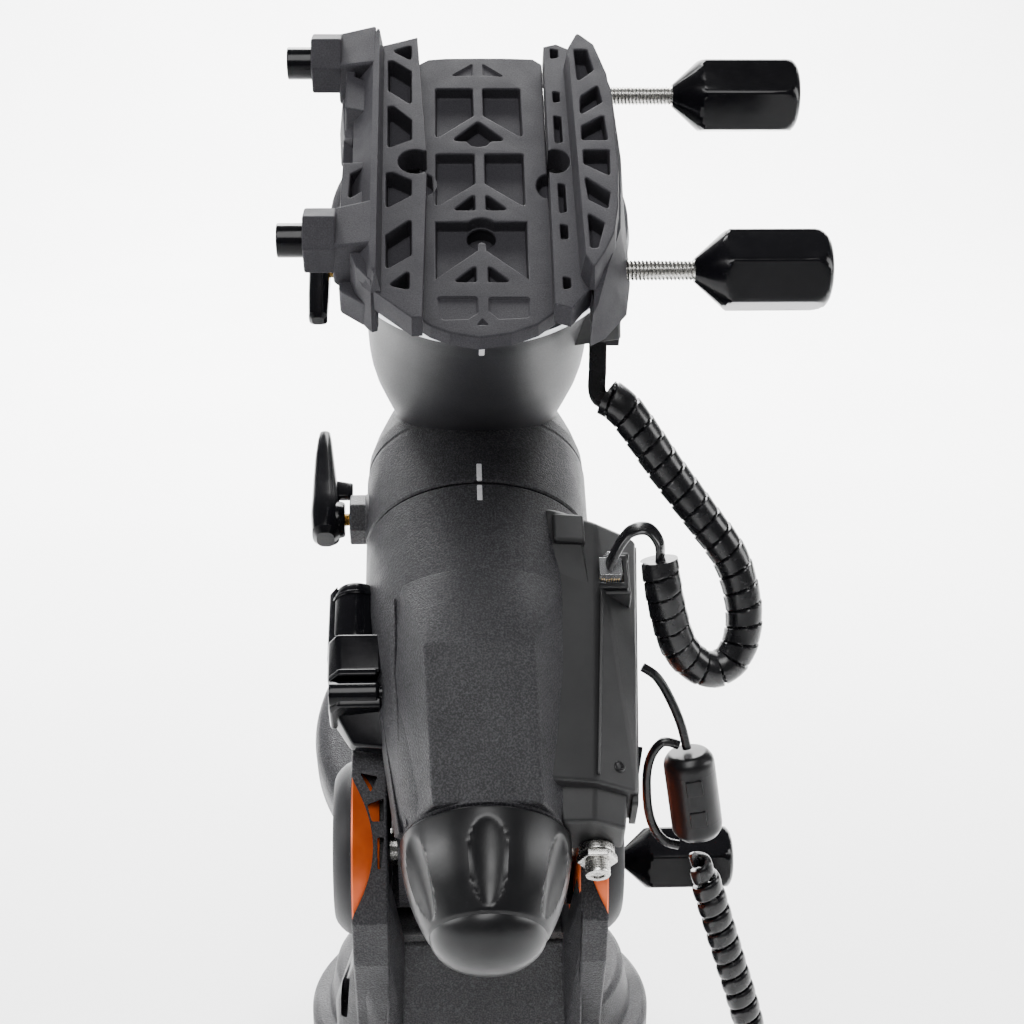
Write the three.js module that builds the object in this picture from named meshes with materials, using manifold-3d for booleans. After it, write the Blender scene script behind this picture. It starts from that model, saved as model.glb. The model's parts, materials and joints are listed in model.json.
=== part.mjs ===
// Head of a computerised German equatorial telescope mount, in millimetres.
// Row frame: +X right, +Y towards the back, +Z up, origin at the centre of the base's tripod face.
// The right-ascension parts are drawn in a frame tilted to the latitude: x right, y up the polar axis,
// z up the declination axis, with its origin where the two axes cross.
import * as THREE from 'three';
import Module from 'manifold-3d';
import { ConvexGeometry } from 'three/addons/geometries/ConvexGeometry.js';
import { mergeVertices } from 'three/addons/utils/BufferGeometryUtils.js';

// ---------- driving dimensions ----------
const LATITUDE = 35;
const CROSSING = [0, 75, 260];
const GAP = 0.3;
const WELD = 1e-4;

const FLANGE_R = 79;
const STEP_R = 70;
const STEP_TOP = 33;
const WALL_TOP = 79;
const PIVOT_Y = -35;
const PIVOT_Z = 110.5;
const PIVOT_R = 8;
const ARM_IN = 42;
const ARM_OUT = 55;
const ACCENT_R = 28.3;
const CAP_R = 36.6;
const CAP_OUT = 64;
const LOCK_Y = 40;
const LOCK_Z = 60;
const ALTITUDE_SCREW_Z = 48;
const AZIMUTH_SCREW = [24, 26];
const KNOB_R = 15;
const KNOB_LENGTH = 53;

const RA_R = 50;
const RA_TOP = -59.2;
const RA_FOOT = -203.5;
const RA_FOOT_R = 33.3;
const SHAFT_R = 20;
const MOTOR_R = 9;
const RA_MOTOR_X = -54;
const WHEEL_R = 32;
const WORM_R = 6;
const RA_WHEEL_Y = -84;

const DEC_TOP = 138;
const DEC_SHAFT_R = 15;
const DEC_WHEEL_Z = 98;
const RING_R = 58;
const DISC_R = 60;

const SADDLE_HALF = 74;
const PAD_Z = 165;
const FLOOR_Z = 176;
const JAW_Z = 187;
const TIE_Z = 159;
const TIE_Y = [61, -40];
const SCREW_Z = 176;
const ROD_R = 4;

const WEIGHT_R = 91;
const WEIGHT_TOP = -264;
const WEIGHT_H = 45;
const BAR_R = 9;
const BAR_END = -345;

// ---------- materials ----------
const finish = (name, color, metalness, roughness) =>
  new THREE.MeshStandardMaterial({ name, color, metalness, roughness });
const castBlack = finish('black_cast', 0x1b1b1d, 0.3, 0.7);
const saddleBlack = finish('black_anodised', 0x232325, 0.4, 0.6);
const glossBlack = finish('black_gloss_plastic', 0x0c0c0e, 0.0, 0.2);
const mattBlack = finish('black_matt_plastic', 0x151517, 0.0, 0.6);
const cordBlack = finish('black_cord', 0x101012, 0.0, 0.4);
const orange = finish('orange_accent', 0xe0521c, 0.2, 0.5);
const steel = finish('bright_steel', 0xb8b8b4, 1.0, 0.3);
const brass = finish('brass', 0xc79a3c, 1.0, 0.35);
const aluminium = finish('aluminium', 0xb4b6b8, 0.9, 0.4);
const board = finish('circuit_board', 0x1d5a33, 0.0, 0.5);

// ---------- solids ----------
const wasm = await Module();
wasm.setup();

// A shape as a closed solid for joining and cutting, with its faces outward.
function solidOf(geometry) {
  const bare = new THREE.BufferGeometry();
  bare.setAttribute('position', geometry.getAttribute('position').clone());
  if (geometry.index) bare.setIndex(geometry.index.clone());
  const merged = mergeVertices(bare, WELD);
  const at = merged.getAttribute('position').array;
  const source = merged.index.array;
  const faces = [];
  let volume = 0;
  for (let i = 0; i < source.length; i += 3) {
    const [a, b, c] = [source[i], source[i + 1], source[i + 2]];
    if (a === b || b === c || a === c) continue;
    faces.push(a, b, c);
    const [ax, ay, az] = at.slice(3 * a, 3 * a + 3);
    const [bx, by, bz] = at.slice(3 * b, 3 * b + 3);
    const [cx, cy, cz] = at.slice(3 * c, 3 * c + 3);
    volume += ax * (by * cz - bz * cy) - ay * (bx * cz - bz * cx) + az * (bx * cy - by * cx);
  }
  if (volume < 0) {
    for (let i = 0; i < faces.length; i += 3) [faces[i + 1], faces[i + 2]] = [faces[i + 2], faces[i + 1]];
  }
  return new wasm.Manifold(new wasm.Mesh({
    numProp: 3,
    vertProperties: new Float32Array(at),
    triVerts: new Uint32Array(faces),
  }));
}

function geometryOf(solid) {
  const mesh = solid.getMesh();
  const geometry = new THREE.BufferGeometry();
  geometry.setAttribute('position', new THREE.BufferAttribute(new Float32Array(mesh.vertProperties), 3));
  geometry.setIndex(new THREE.BufferAttribute(new Uint32Array(mesh.triVerts), 1));
  return geometry;
}

function join(...shapes) {
  return geometryOf(shapes.map(solidOf).reduce((all, next) => all.add(next)));
}

function cut(shape, ...tools) {
  return geometryOf(tools.map(solidOf).reduce((left, tool) => left.subtract(tool), solidOf(shape)));
}

// ---------- shapes, all drawn along +Z and then placed ----------
function place(geometry, at, along = [0, 0, 1]) {
  const turn = new THREE.Quaternion().setFromUnitVectors(
    new THREE.Vector3(0, 0, 1), new THREE.Vector3(...along).normalize());
  const matrix = new THREE.Matrix4().compose(new THREE.Vector3(...at), turn, new THREE.Vector3(1, 1, 1));
  return geometry.clone().applyMatrix4(matrix);
}

// A turned shape from [radius, height] points that start and end on the axis, or close on themselves.
function turned(profile, segments = 24) {
  const points = profile.map(([r, z]) => new THREE.Vector2(r, z));
  return new THREE.LatheGeometry(points, segments).rotateX(Math.PI / 2);
}

function rod(radius, from, to, segments = 16, chamfer = 0) {
  const body = chamfer > 0
    ? [[radius - chamfer, from], [radius, from + chamfer], [radius, to - chamfer], [radius - chamfer, to]]
    : [[radius, from], [radius, to]];
  return turned([[0, from], ...body, [0, to]], segments);
}

function pipe(inner, outer, from, to, segments = 24) {
  return turned([[inner, from], [outer, from], [outer, to], [inner, to], [inner, from]], segments);
}

function block(x0, x1, y0, y1, z0, z1) {
  return new THREE.BoxGeometry(x1 - x0, y1 - y0, z1 - z0)
    .translate((x0 + x1) / 2, (y0 + y1) / 2, (z0 + z1) / 2);
}

function hull(points) {
  return new ConvexGeometry(points.map((p) => new THREE.Vector3(...p)));
}

// An outline of [u, v] points pushed along Z.
function slab(outline, from, to) {
  const shape = new THREE.Shape(outline.map(([u, v]) => new THREE.Vector2(u, v)));
  return new THREE.ExtrudeGeometry(shape, { depth: to - from, bevelEnabled: false }).translate(0, 0, from);
}

// The same outline read as [y, z] and pushed along X.
function sideSlab(outline, from, to) {
  const turn = new THREE.Matrix4().makeBasis(
    new THREE.Vector3(0, 1, 0), new THREE.Vector3(0, 0, 1), new THREE.Vector3(1, 0, 0));
  return slab(outline, from, to).applyMatrix4(turn);
}

// The same outline read as [x, z] and pushed along Y.
function crossSlab(outline, from, to) {
  const turn = new THREE.Matrix4().makeBasis(
    new THREE.Vector3(1, 0, 0), new THREE.Vector3(0, 0, 1), new THREE.Vector3(0, -1, 0));
  return slab(outline, -to, -from).applyMatrix4(turn);
}

function arc(cx, cy, radius, fromDeg, toDeg, steps) {
  return Array.from({ length: steps + 1 }, (_, i) => {
    const angle = THREE.MathUtils.degToRad(fromDeg + (toDeg - fromDeg) * i / steps);
    return [cx + radius * Math.cos(angle), cy + radius * Math.sin(angle)];
  });
}

// A round tube along a curve through the route's points.
function hose(route, radius, steps, sides = 8) {
  const curve = new THREE.CatmullRomCurve3(route.map((p) => new THREE.Vector3(...p)), false, 'centripetal');
  const outline = arc(0, 0, radius, 0, 360 - 360 / sides, sides - 1);
  const shape = new THREE.Shape(outline.map(([u, v]) => new THREE.Vector2(u, v)));
  return new THREE.ExtrudeGeometry(shape, { steps, extrudePath: curve, bevelEnabled: false });
}

const object = new THREE.Group();
object.name = 'equatorial_mount';
const tilted = new THREE.Group();
tilted.position.set(...CROSSING);
tilted.rotation.x = THREE.MathUtils.degToRad(LATITUDE);
object.add(tilted);

function add(group, name, geometry, material) {
  const mesh = new THREE.Mesh(geometry, material);
  mesh.name = name;
  group.add(mesh);
}

// ---------- hand knob with its threaded rod, drawn along +Z from the tip of the rod ----------
function handKnob(rodLength) {
  const end = rodLength + KNOB_LENGTH;
  return turned([
    [0, 0], [ROD_R, 0], [ROD_R, rodLength], [KNOB_R / 2, rodLength], [KNOB_R / 2, rodLength + 2],
    [KNOB_R - 0.8, rodLength + 13], [KNOB_R, rodLength + 16], [KNOB_R, end - 4], [KNOB_R - 3, end], [0, end],
  ], 16);
}

// ---------- base: flange, deck and fork arms ----------
const flange = cut(
  turned([
    [0, 0], [FLANGE_R - 2, 0], [FLANGE_R, 2], [FLANGE_R, 10], [FLANGE_R - 3, 13], [STEP_R, 14],
    [STEP_R - 3, STEP_TOP], [0, STEP_TOP],
  ], 40),
  block(-40, 40, 57.5, 90, 14, 40),
);
const armOutline = [
  [50, 12], [60, 40], [60, 70], [36, 92],
  ...arc(PIVOT_Y, PIVOT_Z, 47, 5, 175, 9),
  [-72, 84], [-62, 40], [-50, 12],
];
const arms = [-1, 1].map((side) =>
  sideSlab(armOutline, ...(side > 0 ? [ARM_IN, ARM_OUT] : [-ARM_OUT, -ARM_IN])));
const frontWeb = sideSlab([
  [-66, STEP_TOP - 1], [-62, WALL_TOP], [-54, WALL_TOP], [-50, STEP_TOP - 1],
], -ARM_IN - 1, ARM_IN + 1);
const rearWeb = block(-ARM_IN - 1, ARM_IN + 1, 46, 57.5, 12, 64);
const base = cut(
  join(flange, ...arms, frontWeb, rearWeb),
  rod(9, -1, STEP_TOP + 1, 16),
  place(rod(PIVOT_R + GAP, -60, 60, 16), [0, PIVOT_Y, PIVOT_Z], [1, 0, 0]),
  place(rod(ROD_R + GAP, -60, 60, 16), [0, LOCK_Y, LOCK_Z], [1, 0, 0]),
  place(rod(6 + GAP, 36, 60, 16), [0, 0, ALTITUDE_SCREW_Z], [0, 1, 0]),
  ...[-1, 1].map((side) =>
    place(rod(ROD_R + GAP, 52, 60, 16), [side * AZIMUTH_SCREW[0], 0, AZIMUTH_SCREW[1]], [0, 1, 0])),
  ...[-1, 1].map((side) =>
    place(rod(ACCENT_R + GAP, 0, 20, 28), [side * 50, PIVOT_Y, PIVOT_Z], [side, 0, 0])),
);
add(object, 'base_casting', base, castBlack);
add(object, 'pivot_axle',
  place(rod(PIVOT_R, -49.7, 49.7, 24, 0.8), [0, PIVOT_Y, PIVOT_Z], [1, 0, 0]), steel);

for (const [side, hand] of [[-1, 'left'], [1, 'right']]) {
  const accent = turned([
    [0, 0.2], [ACCENT_R, 0.2], [ACCENT_R, 5.5], [ACCENT_R - 3, 7.5], [14, 7.5], [14, 9.2], [0, 9.2],
  ], 28);
  add(object, `accent_disc_${hand}`, place(accent, [side * 50, PIVOT_Y, PIVOT_Z], [side, 0, 0]), orange);
  const ring = turned([
    [ACCENT_R + GAP, GAP], [CAP_R, GAP], [CAP_R, 4], [CAP_R - 3.4, 9], [ACCENT_R + 1.2, 9],
    [ACCENT_R + GAP, 8], [ACCENT_R + GAP, GAP],
  ], 28);
  add(object, `pivot_cap_${hand}`, place(ring, [side * ARM_OUT, PIVOT_Y, PIVOT_Z], [side, 0, 0]), castBlack);
}

add(object, 'altitude_lock_knob', place(handKnob(128), [-57, LOCK_Y, LOCK_Z], [1, 0, 0]), glossBlack);

const altitudeScrew = turned([
  [0, 38], [4.5, 38], [6, 40], [6, 66], [9, 66], [13, 70], [13, 92], [10, 96], [0, 96],
], 16);
add(object, 'altitude_adjuster', place(altitudeScrew, [0, 0, ALTITUDE_SCREW_Z], [0, 1, 0]), glossBlack);
for (const [side, hand] of [[-1, 'left'], [1, 'right']]) {
  const screw = turned([
    [0, 53.5], [4, 53.5], [4, 64], [8, 64], [10.5, 67], [10.5, 84], [8, 87], [0, 87],
  ], 14);
  const at = [side * AZIMUTH_SCREW[0], 0, AZIMUTH_SCREW[1]];
  add(object, `azimuth_adjuster_${hand}`, place(screw, at, [0, 1, 0]), glossBlack);
}

// ---------- right-ascension housing ----------
const up = [0, 1, 0];
const housingOuter = [
  [RA_FOOT_R, RA_FOOT], [36, -195], [41.5, -165], [47.5, -125], [RA_R, -100], [RA_R, RA_TOP],
];
const grown = housingOuter.map(([r, y]) => [r + GAP, y]);
const housingEnvelope = place(turned([[0, RA_FOOT], ...grown, [0, RA_TOP]], 32), [0, 0, 0], up);
const facetEdge = arc(0, 0, RA_R - 0.1, 48, 132, 8).map(([x, z]) => [x, -103, z]);
const facet = hull([
  ...facetEdge,
  [-24, -141, 50], [20, -141, 50], [-35.5, -141, 26], [35, -141, 26],
  [-19, -202, 31], [19, -202, 31], [-30, -202, 10], [30, -202, 10], [0, -150, 0], [0, -105, 0],
]);
const pivotY = -175.9;
const pivotZ = -59.4;
const lugOutline = [
  ...arc(pivotY, pivotZ, 26, 160, 340, 10), [-118, -34], [-118, -12], [-196, -12],
];
const lug = sideSlab(lugOutline, -ARM_IN + 1.2, ARM_IN - 1.2);
const housing = cut(
  join(
    place(turned([[0, RA_FOOT], ...housingOuter, [0, RA_TOP]], 32), [0, 0, 0], up),
    facet, lug,
  ),
  place(rod(SHAFT_R + 2.5, -206, -56, 24), [0, 0, 0], up),
  place(rod(30, -72, -56, 24), [0, 0, 0], up),
  place(rod(26, -206, -192, 24), [0, 0, 0], up),
  place(rod(WHEEL_R + 2, -91, -77, 24), [0, 0, 0], up),
  place(rod(WORM_R + 1.2, -15, 15, 16), [-WHEEL_R - WORM_R - GAP, RA_WHEEL_Y, 0]),
  place(rod(PIVOT_R + GAP, -50, 50, 16), [0, pivotY, pivotZ], [1, 0, 0]),
  place(rod(MOTOR_R + 2 * GAP, -150, -96, 16), [RA_MOTOR_X, 0, 0], up),
);
add(tilted, 'ra_housing', housing, castBlack);
add(tilted, 'ra_worm_wheel', place(pipe(SHAFT_R + GAP, WHEEL_R, -90, -78, 28), [0, 0, 0], up), brass);
add(tilted, 'ra_worm', place(rod(WORM_R, -13, 13, 16, 1), [-WHEEL_R - WORM_R - GAP, RA_WHEEL_Y, 0]), steel);
add(tilted, 'ra_bearing_upper', place(pipe(SHAFT_R + GAP, 29.7, -71.7, -60, 24), [0, 0, 0], up), steel);
add(tilted, 'ra_bearing_lower', place(pipe(SHAFT_R + GAP, 25.7, -203, -192.3, 24), [0, 0, 0], up), steel);
const raMotor = join(
  place(rod(MOTOR_R, -146, -104, 16, 0.6), [RA_MOTOR_X, 0, 0], up),
  place(rod(2.5, -105, -98, 12), [RA_MOTOR_X, 0, 0], up),
);
add(tilted, 'ra_motor', raMotor, steel);
const raCover = cut(
  hull([
    [-61, -86, -28], [-64.5, -86, -18], [-64.5, -86, 14], [-58, -86, 22], [-40, -86, 22], [-40, -86, -28],
    [-65, -150, -9], [-65, -150, 10], [-58, -150, 17], [-38, -150, 17], [-38, -150, -10],
    [-53, -172, -9], [-53, -172, 7], [-36, -172, 9], [-36, -172, -9],
  ]),
  housingEnvelope,
  place(rod(MOTOR_R + 2 * GAP, -150, -96, 16), [RA_MOTOR_X, 0, 0], up),
);
add(tilted, 'ra_motor_cover', raCover, glossBlack);

// ---------- electronics box on the housing's right side ----------
// Its outer face leans in towards the foot, and everything on that face is drawn in this frame:
// x out of the face, y up the polar axis, z up the declination axis.
const faceFrame = new THREE.Matrix4().compose(
  new THREE.Vector3(65.4, -134, 2.5),
  new THREE.Quaternion().setFromAxisAngle(new THREE.Vector3(0, 0, 1), -0.0626),
  new THREE.Vector3(1, 1, 1));
const onFace = (geometry) => geometry.clone().applyMatrix4(faceFrame);
const faceDepth = 3;
const faceHole = block(-faceDepth, 1, -60, 60, -10, 10);
const electronicsBody = join(
  hull([
    [30, -66, 30], [53, -66, 30], [69.6, -66, 14.5], [69.6, -66, -9], [30, -66, -9],
    [24, -203, 22], [44, -203, 22], [61, -203, 14], [61, -203, -9], [24, -203, -9],
  ]),
  hull([
    [37, -68, 18], [37, -68, 36], [51, -68, 36], [51, -68, 18],
    [41, -52, 18], [41, -52, 34], [49, -52, 34], [49, -52, 18],
  ]),
);
const cavity = block(-13, 1, -54, 54, -7.5, 8.5);
const electronics = cut(
  electronicsBody,
  housingEnvelope,
  place(rod(RA_R + GAP, -60, -40, 32), [0, 0, 0], up),
  onFace(faceHole),
  onFace(cavity),
  block(47.2, 62.8, -103.3, -85.7, 19.2, 44),
  place(rod(5 + GAP, -210, -196, 16), [45, 0, -6], up),
);
add(tilted, 'electronics_box', electronics, mattBlack);
// Each port is [place along the face, width].
const ports = [[40, 13], [22, 13], [3, 15], [-18, 13]];
const portHoles = ports.map(([y, width]) =>
  block(-5, 2, y - width / 2 - GAP, y + width / 2 + GAP, -6.3, 6.3));
const panel = cut(
  block(-faceDepth + GAP, 0, -60 + GAP, 60 - GAP, -10 + GAP, 10 - GAP),
  ...portHoles,
  block(-5, 2, -45.3, -30.7, -7.3, 7.3),
);
add(tilted, 'port_panel', onFace(panel), mattBlack);
const jacks = cut(
  join(block(-9, -7, -26, 50, -6.5, 6.5), ...ports.map(([y, width]) =>
    block(-8, 0.5, y - width / 2, y + width / 2, -6, 6))),
  ...ports.map(([y, width]) => block(-6.5, 1, y - width / 2 + 1.5, y + width / 2 - 1.5, -4, 4)),
);
add(tilted, 'port_block', onFace(jacks), mattBlack);
const rocker = hull([
  [-8, -44.7, -6.7], [-8, -31.3, -6.7], [-8, -44.7, 6.7], [-8, -31.3, 6.7],
  [0.6, -44.7, -6.7], [2.4, -31.3, -6.7], [0.6, -44.7, 6.7], [2.4, -31.3, 6.7],
  [0.2, -38, -6.7], [0.2, -38, 6.7],
]);
add(tilted, 'power_switch', onFace(rocker), glossBlack);
add(tilted, 'circuit_board', onFace(block(-11.6, -9.6, -52, 52, -7, 7)), board);
const decSocket = cut(
  block(47.5, 62.5, -103, -86, 19.5, 33),
  block(49.5, 60.5, -100, -89, 24, 34),
);
add(tilted, 'panel_dec_port', decSocket, mattBlack);
const powerBarrel = cut(
  join(
    place(turned([
      [0, -216], [5.2, -216], [5.2, -206.8], [7.4, -206.8], [7.4, -203.4], [5, -203.4], [5, -197], [0, -197],
    ], 20), [45, 0, -6], up),
    place(rod(8.4, -210.4, -207, 6), [45, 0, -6], up),
  ),
  place(rod(2.9, -218, -209, 12), [45, 0, -6], up),
);
add(tilted, 'power_socket', powerBarrel, steel);

// ---------- polar-finder cap and tube ----------
const polarCap = turned([
  [0, -257], [9, -255.5], [18, -250], [24, -241], [26.5, -240], [31, -229], [34.6, -216], [34.6, -204.2],
  [31.5, -204.2], [31, -216], [28, -228], [23, -238], [15, -247], [0, -252],
], 24);
add(tilted, 'polar_cap', place(polarCap, [0, 0, 0], up), glossBlack);
const finder = turned([
  [0, -238], [10, -238], [12, -236], [12, -226], [15, -226], [15, -212], [12, -212], [12, -120], [0, -120],
], 20);
add(tilted, 'polar_finder_tube', place(finder, [0, 0, 0], up), mattBlack);

// ---------- head: polar shaft and the declination housing ----------
const raShaft = turned([
  [12.5, -200], [SHAFT_R, -200], [SHAFT_R, -58.5], [24, -58.5], [24, -50], [SHAFT_R, -50], [SHAFT_R, -26],
  [12.5, -26], [12.5, -200],
], 24);
add(tilted, 'ra_shaft', place(raShaft, [0, 0, 0], up), aluminium);

const headAlong = turned([
  [0, -58.6], [RA_R, -58.6], [RA_R, -20], [48.5, -6], [44, 8], [36, 20], [0, 30],
], 32);
const neckProfile = [
  [0, -52], [30, -52], [33, -47], [36, 0], [36, 30], [43, 58], [46.5, 80], [49, 116],
  [54, 128], [54, DEC_TOP - 3], [52, DEC_TOP], [0, DEC_TOP],
];
const neck = turned(neckProfile, 32);
const decEnvelope = turned(neckProfile.map(([r, z]) => [r > 0 ? r + GAP : 0, z]), 32);
const raClutchBoss = place(rod(10.5, 40, 58, 20, 1), [0, -42, 0], [-1, 0, 0]);
const decClutchBoss = place(rod(9, 40, 58, 20, 1), [0, 0, 118], [-1, 0, 0]);
const decPortHousing = hull([
  [38, -24, 98], [38, 0, 98], [60, -22, 98], [60, -2, 98],
  [38, -24, 119], [38, 0, 119], [58, -22, 119], [58, -2, 119],
]);
const head = cut(
  join(place(headAlong, [0, 0, 0], up), neck, raClutchBoss, decClutchBoss, decPortHousing),
  place(rod(SHAFT_R + GAP, -60, -25.5, 24), [0, 0, 0], up),
  place(rod(24 + GAP, -60, -49.7, 24), [0, 0, 0], up),
  rod(DEC_SHAFT_R + 1.2, -53, DEC_TOP + 1, 24),
  rod(27, DEC_TOP - 12, DEC_TOP + 1, 24),
  rod(24, -53, -40, 24),
  rod(WHEEL_R + 2, DEC_WHEEL_Z - 7, DEC_WHEEL_Z + 7, 24),
  place(rod(WORM_R + 1.2, -16, 16, 16), [0, WHEEL_R + WORM_R + GAP, DEC_WHEEL_Z], [1, 0, 0]),
  place(rod(3.3, 30, 60, 12), [0, -42, 0], [-1, 0, 0]),
  place(rod(3.3, 44, 60, 12), [0, 0, 118], [-1, 0, 0]),
  block(48.5, 59.5, -19.3, -4.7, 90, 108),
);
add(tilted, 'head_casting', head, castBlack);
add(tilted, 'dec_bearing_upper', pipe(DEC_SHAFT_R + GAP, 26.7, DEC_TOP - 11.7, DEC_TOP - 0.5, 24), steel);
add(tilted, 'dec_bearing_lower', pipe(DEC_SHAFT_R + GAP, 23.7, -51.5, -40.3, 24), steel);
add(tilted, 'dec_worm_wheel', pipe(DEC_SHAFT_R + GAP, WHEEL_R, DEC_WHEEL_Z - 6, DEC_WHEEL_Z + 6, 28), brass);
add(tilted, 'dec_worm',
  place(rod(WORM_R, -14, 14, 16, 1), [0, WHEEL_R + WORM_R + GAP, DEC_WHEEL_Z], [1, 0, 0]), steel);
add(tilted, 'dec_port', cut(
  block(48.8, 59.2, -19, -5, 92, 107.6),
  block(50.5, 57.5, -16.5, -7.5, 91, 101),
), mattBlack);
const decCover = cut(
  hull([
    [-44, 20, 126], [44, 20, 126], [-44, 20, 44], [44, 20, 44],
    [-40, 66, 124], [40, 66, 124], [-28, 82, 116], [28, 82, 116], [-40, 66, 52], [40, 66, 52],
    [-28, 82, 60], [28, 82, 60],
  ]),
  decEnvelope,
  block(-32, 32, 10, 73, 58, 115),
);
add(tilted, 'dec_motor_cover', decCover, glossBlack);
add(tilted, 'dec_motor', join(
  rod(MOTOR_R, 60, 104, 16, 0.6).translate(18, 61, 0),
  rod(2.5, 103, 112, 12).translate(18, 61, 0),
), steel);

// Clutch levers: a brass screw and the handle that turns it.
function clutch(name, y, z, lever) {
  add(tilted, `${name}_screw`, place(rod(3, 45.5, 66, 12), [0, y, z], [-1, 0, 0]), brass);
  const bore = place(rod(3 + GAP, 40, 66.3, 12), [0, y, z], [-1, 0, 0]);
  add(tilted, `${name}_lever`, cut(lever, bore), glossBlack);
}
clutch('ra_clutch', -42, 0, join(
  place(rod(10, 61.5, 75, 16, 1), [0, -42, 0], [-1, 0, 0]),
  hull([
    [-63, -46, -8], [-63, -46, 8], [-74, -46, -8], [-74, -46, 8],
    [-68, 8, -4], [-68, 8, 4], [-73, 8, -4], [-73, 8, 4], [-64, -10, -6], [-64, -10, 6], [-76, -20, 0],
  ]),
));
clutch('dec_clutch', 0, 118, join(
  place(rod(8, 61, 70, 16, 1), [0, 0, 118], [-1, 0, 0]),
  hull([
    [-61.5, -28, 115], [-61.5, -28, 121], [-70, -28, 115], [-70, -28, 121],
    [-61.5, 22, 115], [-61.5, 22, 121], [-70, 22, 115], [-70, 22, 121],
  ]),
));

// ---------- saddle ----------
add(tilted, 'dec_shaft', join(
  rod(DEC_SHAFT_R, -51, DEC_TOP + 1, 24),
  turned([[0, DEC_TOP], [12, DEC_TOP], [12, 150], [0, 150]], 16),
), aluminium);
add(tilted, 'dec_setting_ring', pipe(DEC_SHAFT_R + GAP, RING_R, DEC_TOP + GAP + 0.5, 142, 32), aluminium);

const plateOutline = [
  [-41, -SADDLE_HALF], [-24, -SADDLE_HALF], [-14, -SADDLE_HALF - 6], [10, -SADDLE_HALF - 6],
  [22, -SADDLE_HALF],
  [28, -SADDLE_HALF], [28, SADDLE_HALF], [22, SADDLE_HALF], [12, SADDLE_HALF + 4], [-14, SADDLE_HALF + 4],
  [-24, SADDLE_HALF], [-41, SADDLE_HALF],
];
const pocketDepth = 5;
// Recesses in the pad: [x0, x1, y0, y1, lean], the far edge shifted sideways by the lean.
const padPockets = [
  [-17, -2.5, 18, 31, 0], [2.5, 17, 18, 31, 0],
  [-17, -2.5, -6, 10, 0], [2.5, 17, -6, 10, 0],
  [-17, -2.5, -30, -14, 0], [2.5, 17, -30, -14, 0],
  [-16, -2.5, 36, 50, 6], [2.5, 16, 36, 50, -6],
  [-16, -2.5, -50, -36, 5], [2.5, 16, -50, -36, -5],
];
const leaning = ([x0, x1, y0, y1, lean], from, to) =>
  slab([[x0, y0], [x1, y0], [x1 + Math.min(lean, 0), y1], [x0 + Math.max(lean, 0), y1]], from, to);
const saddle = cut(
  join(
    turned([
      [0, 142.3], [DISC_R - 2, 142.3], [DISC_R, 144.5], [DISC_R, 150], [DISC_R - 2, 152.5], [0, 152.5],
    ], 32),
    slab(plateOutline, 151, PAD_Z),
  ),
  rod(12 + GAP, 140, 150.3, 16),
  rod(5.2, 149, 170, 16),
  ...padPockets.map((pocket) => leaning(pocket, PAD_Z - pocketDepth, PAD_Z + 1)),
  ...TIE_Y.map((y) => place(rod(ROD_R + GAP, 6, 34, 16), [0, y, TIE_Z], [1, 0, 0])),
);
add(tilted, 'saddle_plate', saddle, saddleBlack);
add(tilted, 'saddle_bolt', turned([
  [0, 151.5], [4.8, 151.5], [4.8, 163.5], [2.2, 163.5], [2.2, 160.5], [0, 160.5],
], 16), steel);

// Jaws: the section of each is [x, z], pushed along the saddle.
const jawPockets = [
  [50, 66, 3], [30, 46, 3], [10, 26, 3], [-26, -10, -3], [-46, -30, -3], [-66, -50, -3],
];
const fixedSection = [
  [-53, 153.2], [-41.5, 153.2], [-41.5, PAD_Z + GAP], [-26, PAD_Z + GAP], [-22, FLOOR_Z], [-42.5, FLOOR_Z],
  [-39.5, JAW_Z], [-49, JAW_Z], [-53, 181],
];
const tieBlocks = TIE_Y.map((y) => hull([
  [-47.5, y - 11.6, 166.5], [-67, y - 9, 166.5], [-47.5, y + 11.6, 166.5], [-67, y + 9, 166.5],
  [-47.5, y - 11.6, 184.6], [-67, y - 9, 185.4], [-47.5, y + 11.6, 184.6], [-67, y + 9, 185.4],
]));
const horn = (side, y) => hull([
  [side * 38, y - 12, PAD_Z + GAP], [side * 50, y - 12, PAD_Z + GAP], [side * 38, y - 12, JAW_Z],
  [side * 50, y - 12, JAW_Z], [side * 40, y + 6, PAD_Z + GAP], [side * 43, y + 6, PAD_Z + GAP],
  [side * 40, y + 6, JAW_Z], [side * 43, y + 6, JAW_Z],
]);
const fixedJaw = cut(
  join(crossSlab(fixedSection, -SADDLE_HALF, SADDLE_HALF), horn(-1, SADDLE_HALF), ...tieBlocks),
  ...jawPockets.map(([y0, y1, lean]) => leaning([-38, -26, y0, y1, lean], 167.5, FLOOR_Z + 12)),
  place(rod(6.5, 160, 190, 16), [-22, 0, 0]),
  ...TIE_Y.map((y) => place(rod(ROD_R + GAP, 45, 70, 16), [0, y, SCREW_Z], [-1, 0, 0])),
);
add(tilted, 'fixed_jaw', fixedJaw, saddleBlack);
const movingSection = [
  [54, 153.2], [54, 181], [50, JAW_Z], [37.5, JAW_Z], [40.5, FLOOR_Z], [27, FLOOR_Z], [31, PAD_Z + GAP],
  [42, PAD_Z + GAP], [42, 153.2],
];
const movingJaw = cut(
  join(crossSlab(movingSection, -SADDLE_HALF, SADDLE_HALF), horn(1, SADDLE_HALF)),
  ...jawPockets.map(([y0, y1, lean]) => leaning([41, 50, y0, y1, -lean], 178, JAW_Z + 2)),
  place(rod(6.5, 160, 190, 16), [26, 0, 0]),
  ...TIE_Y.map((y) => place(rod(ROD_R + GAP, 35, 60, 16), [0, y, TIE_Z], [1, 0, 0])),
);
add(tilted, 'moving_jaw', movingJaw, saddleBlack);
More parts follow.
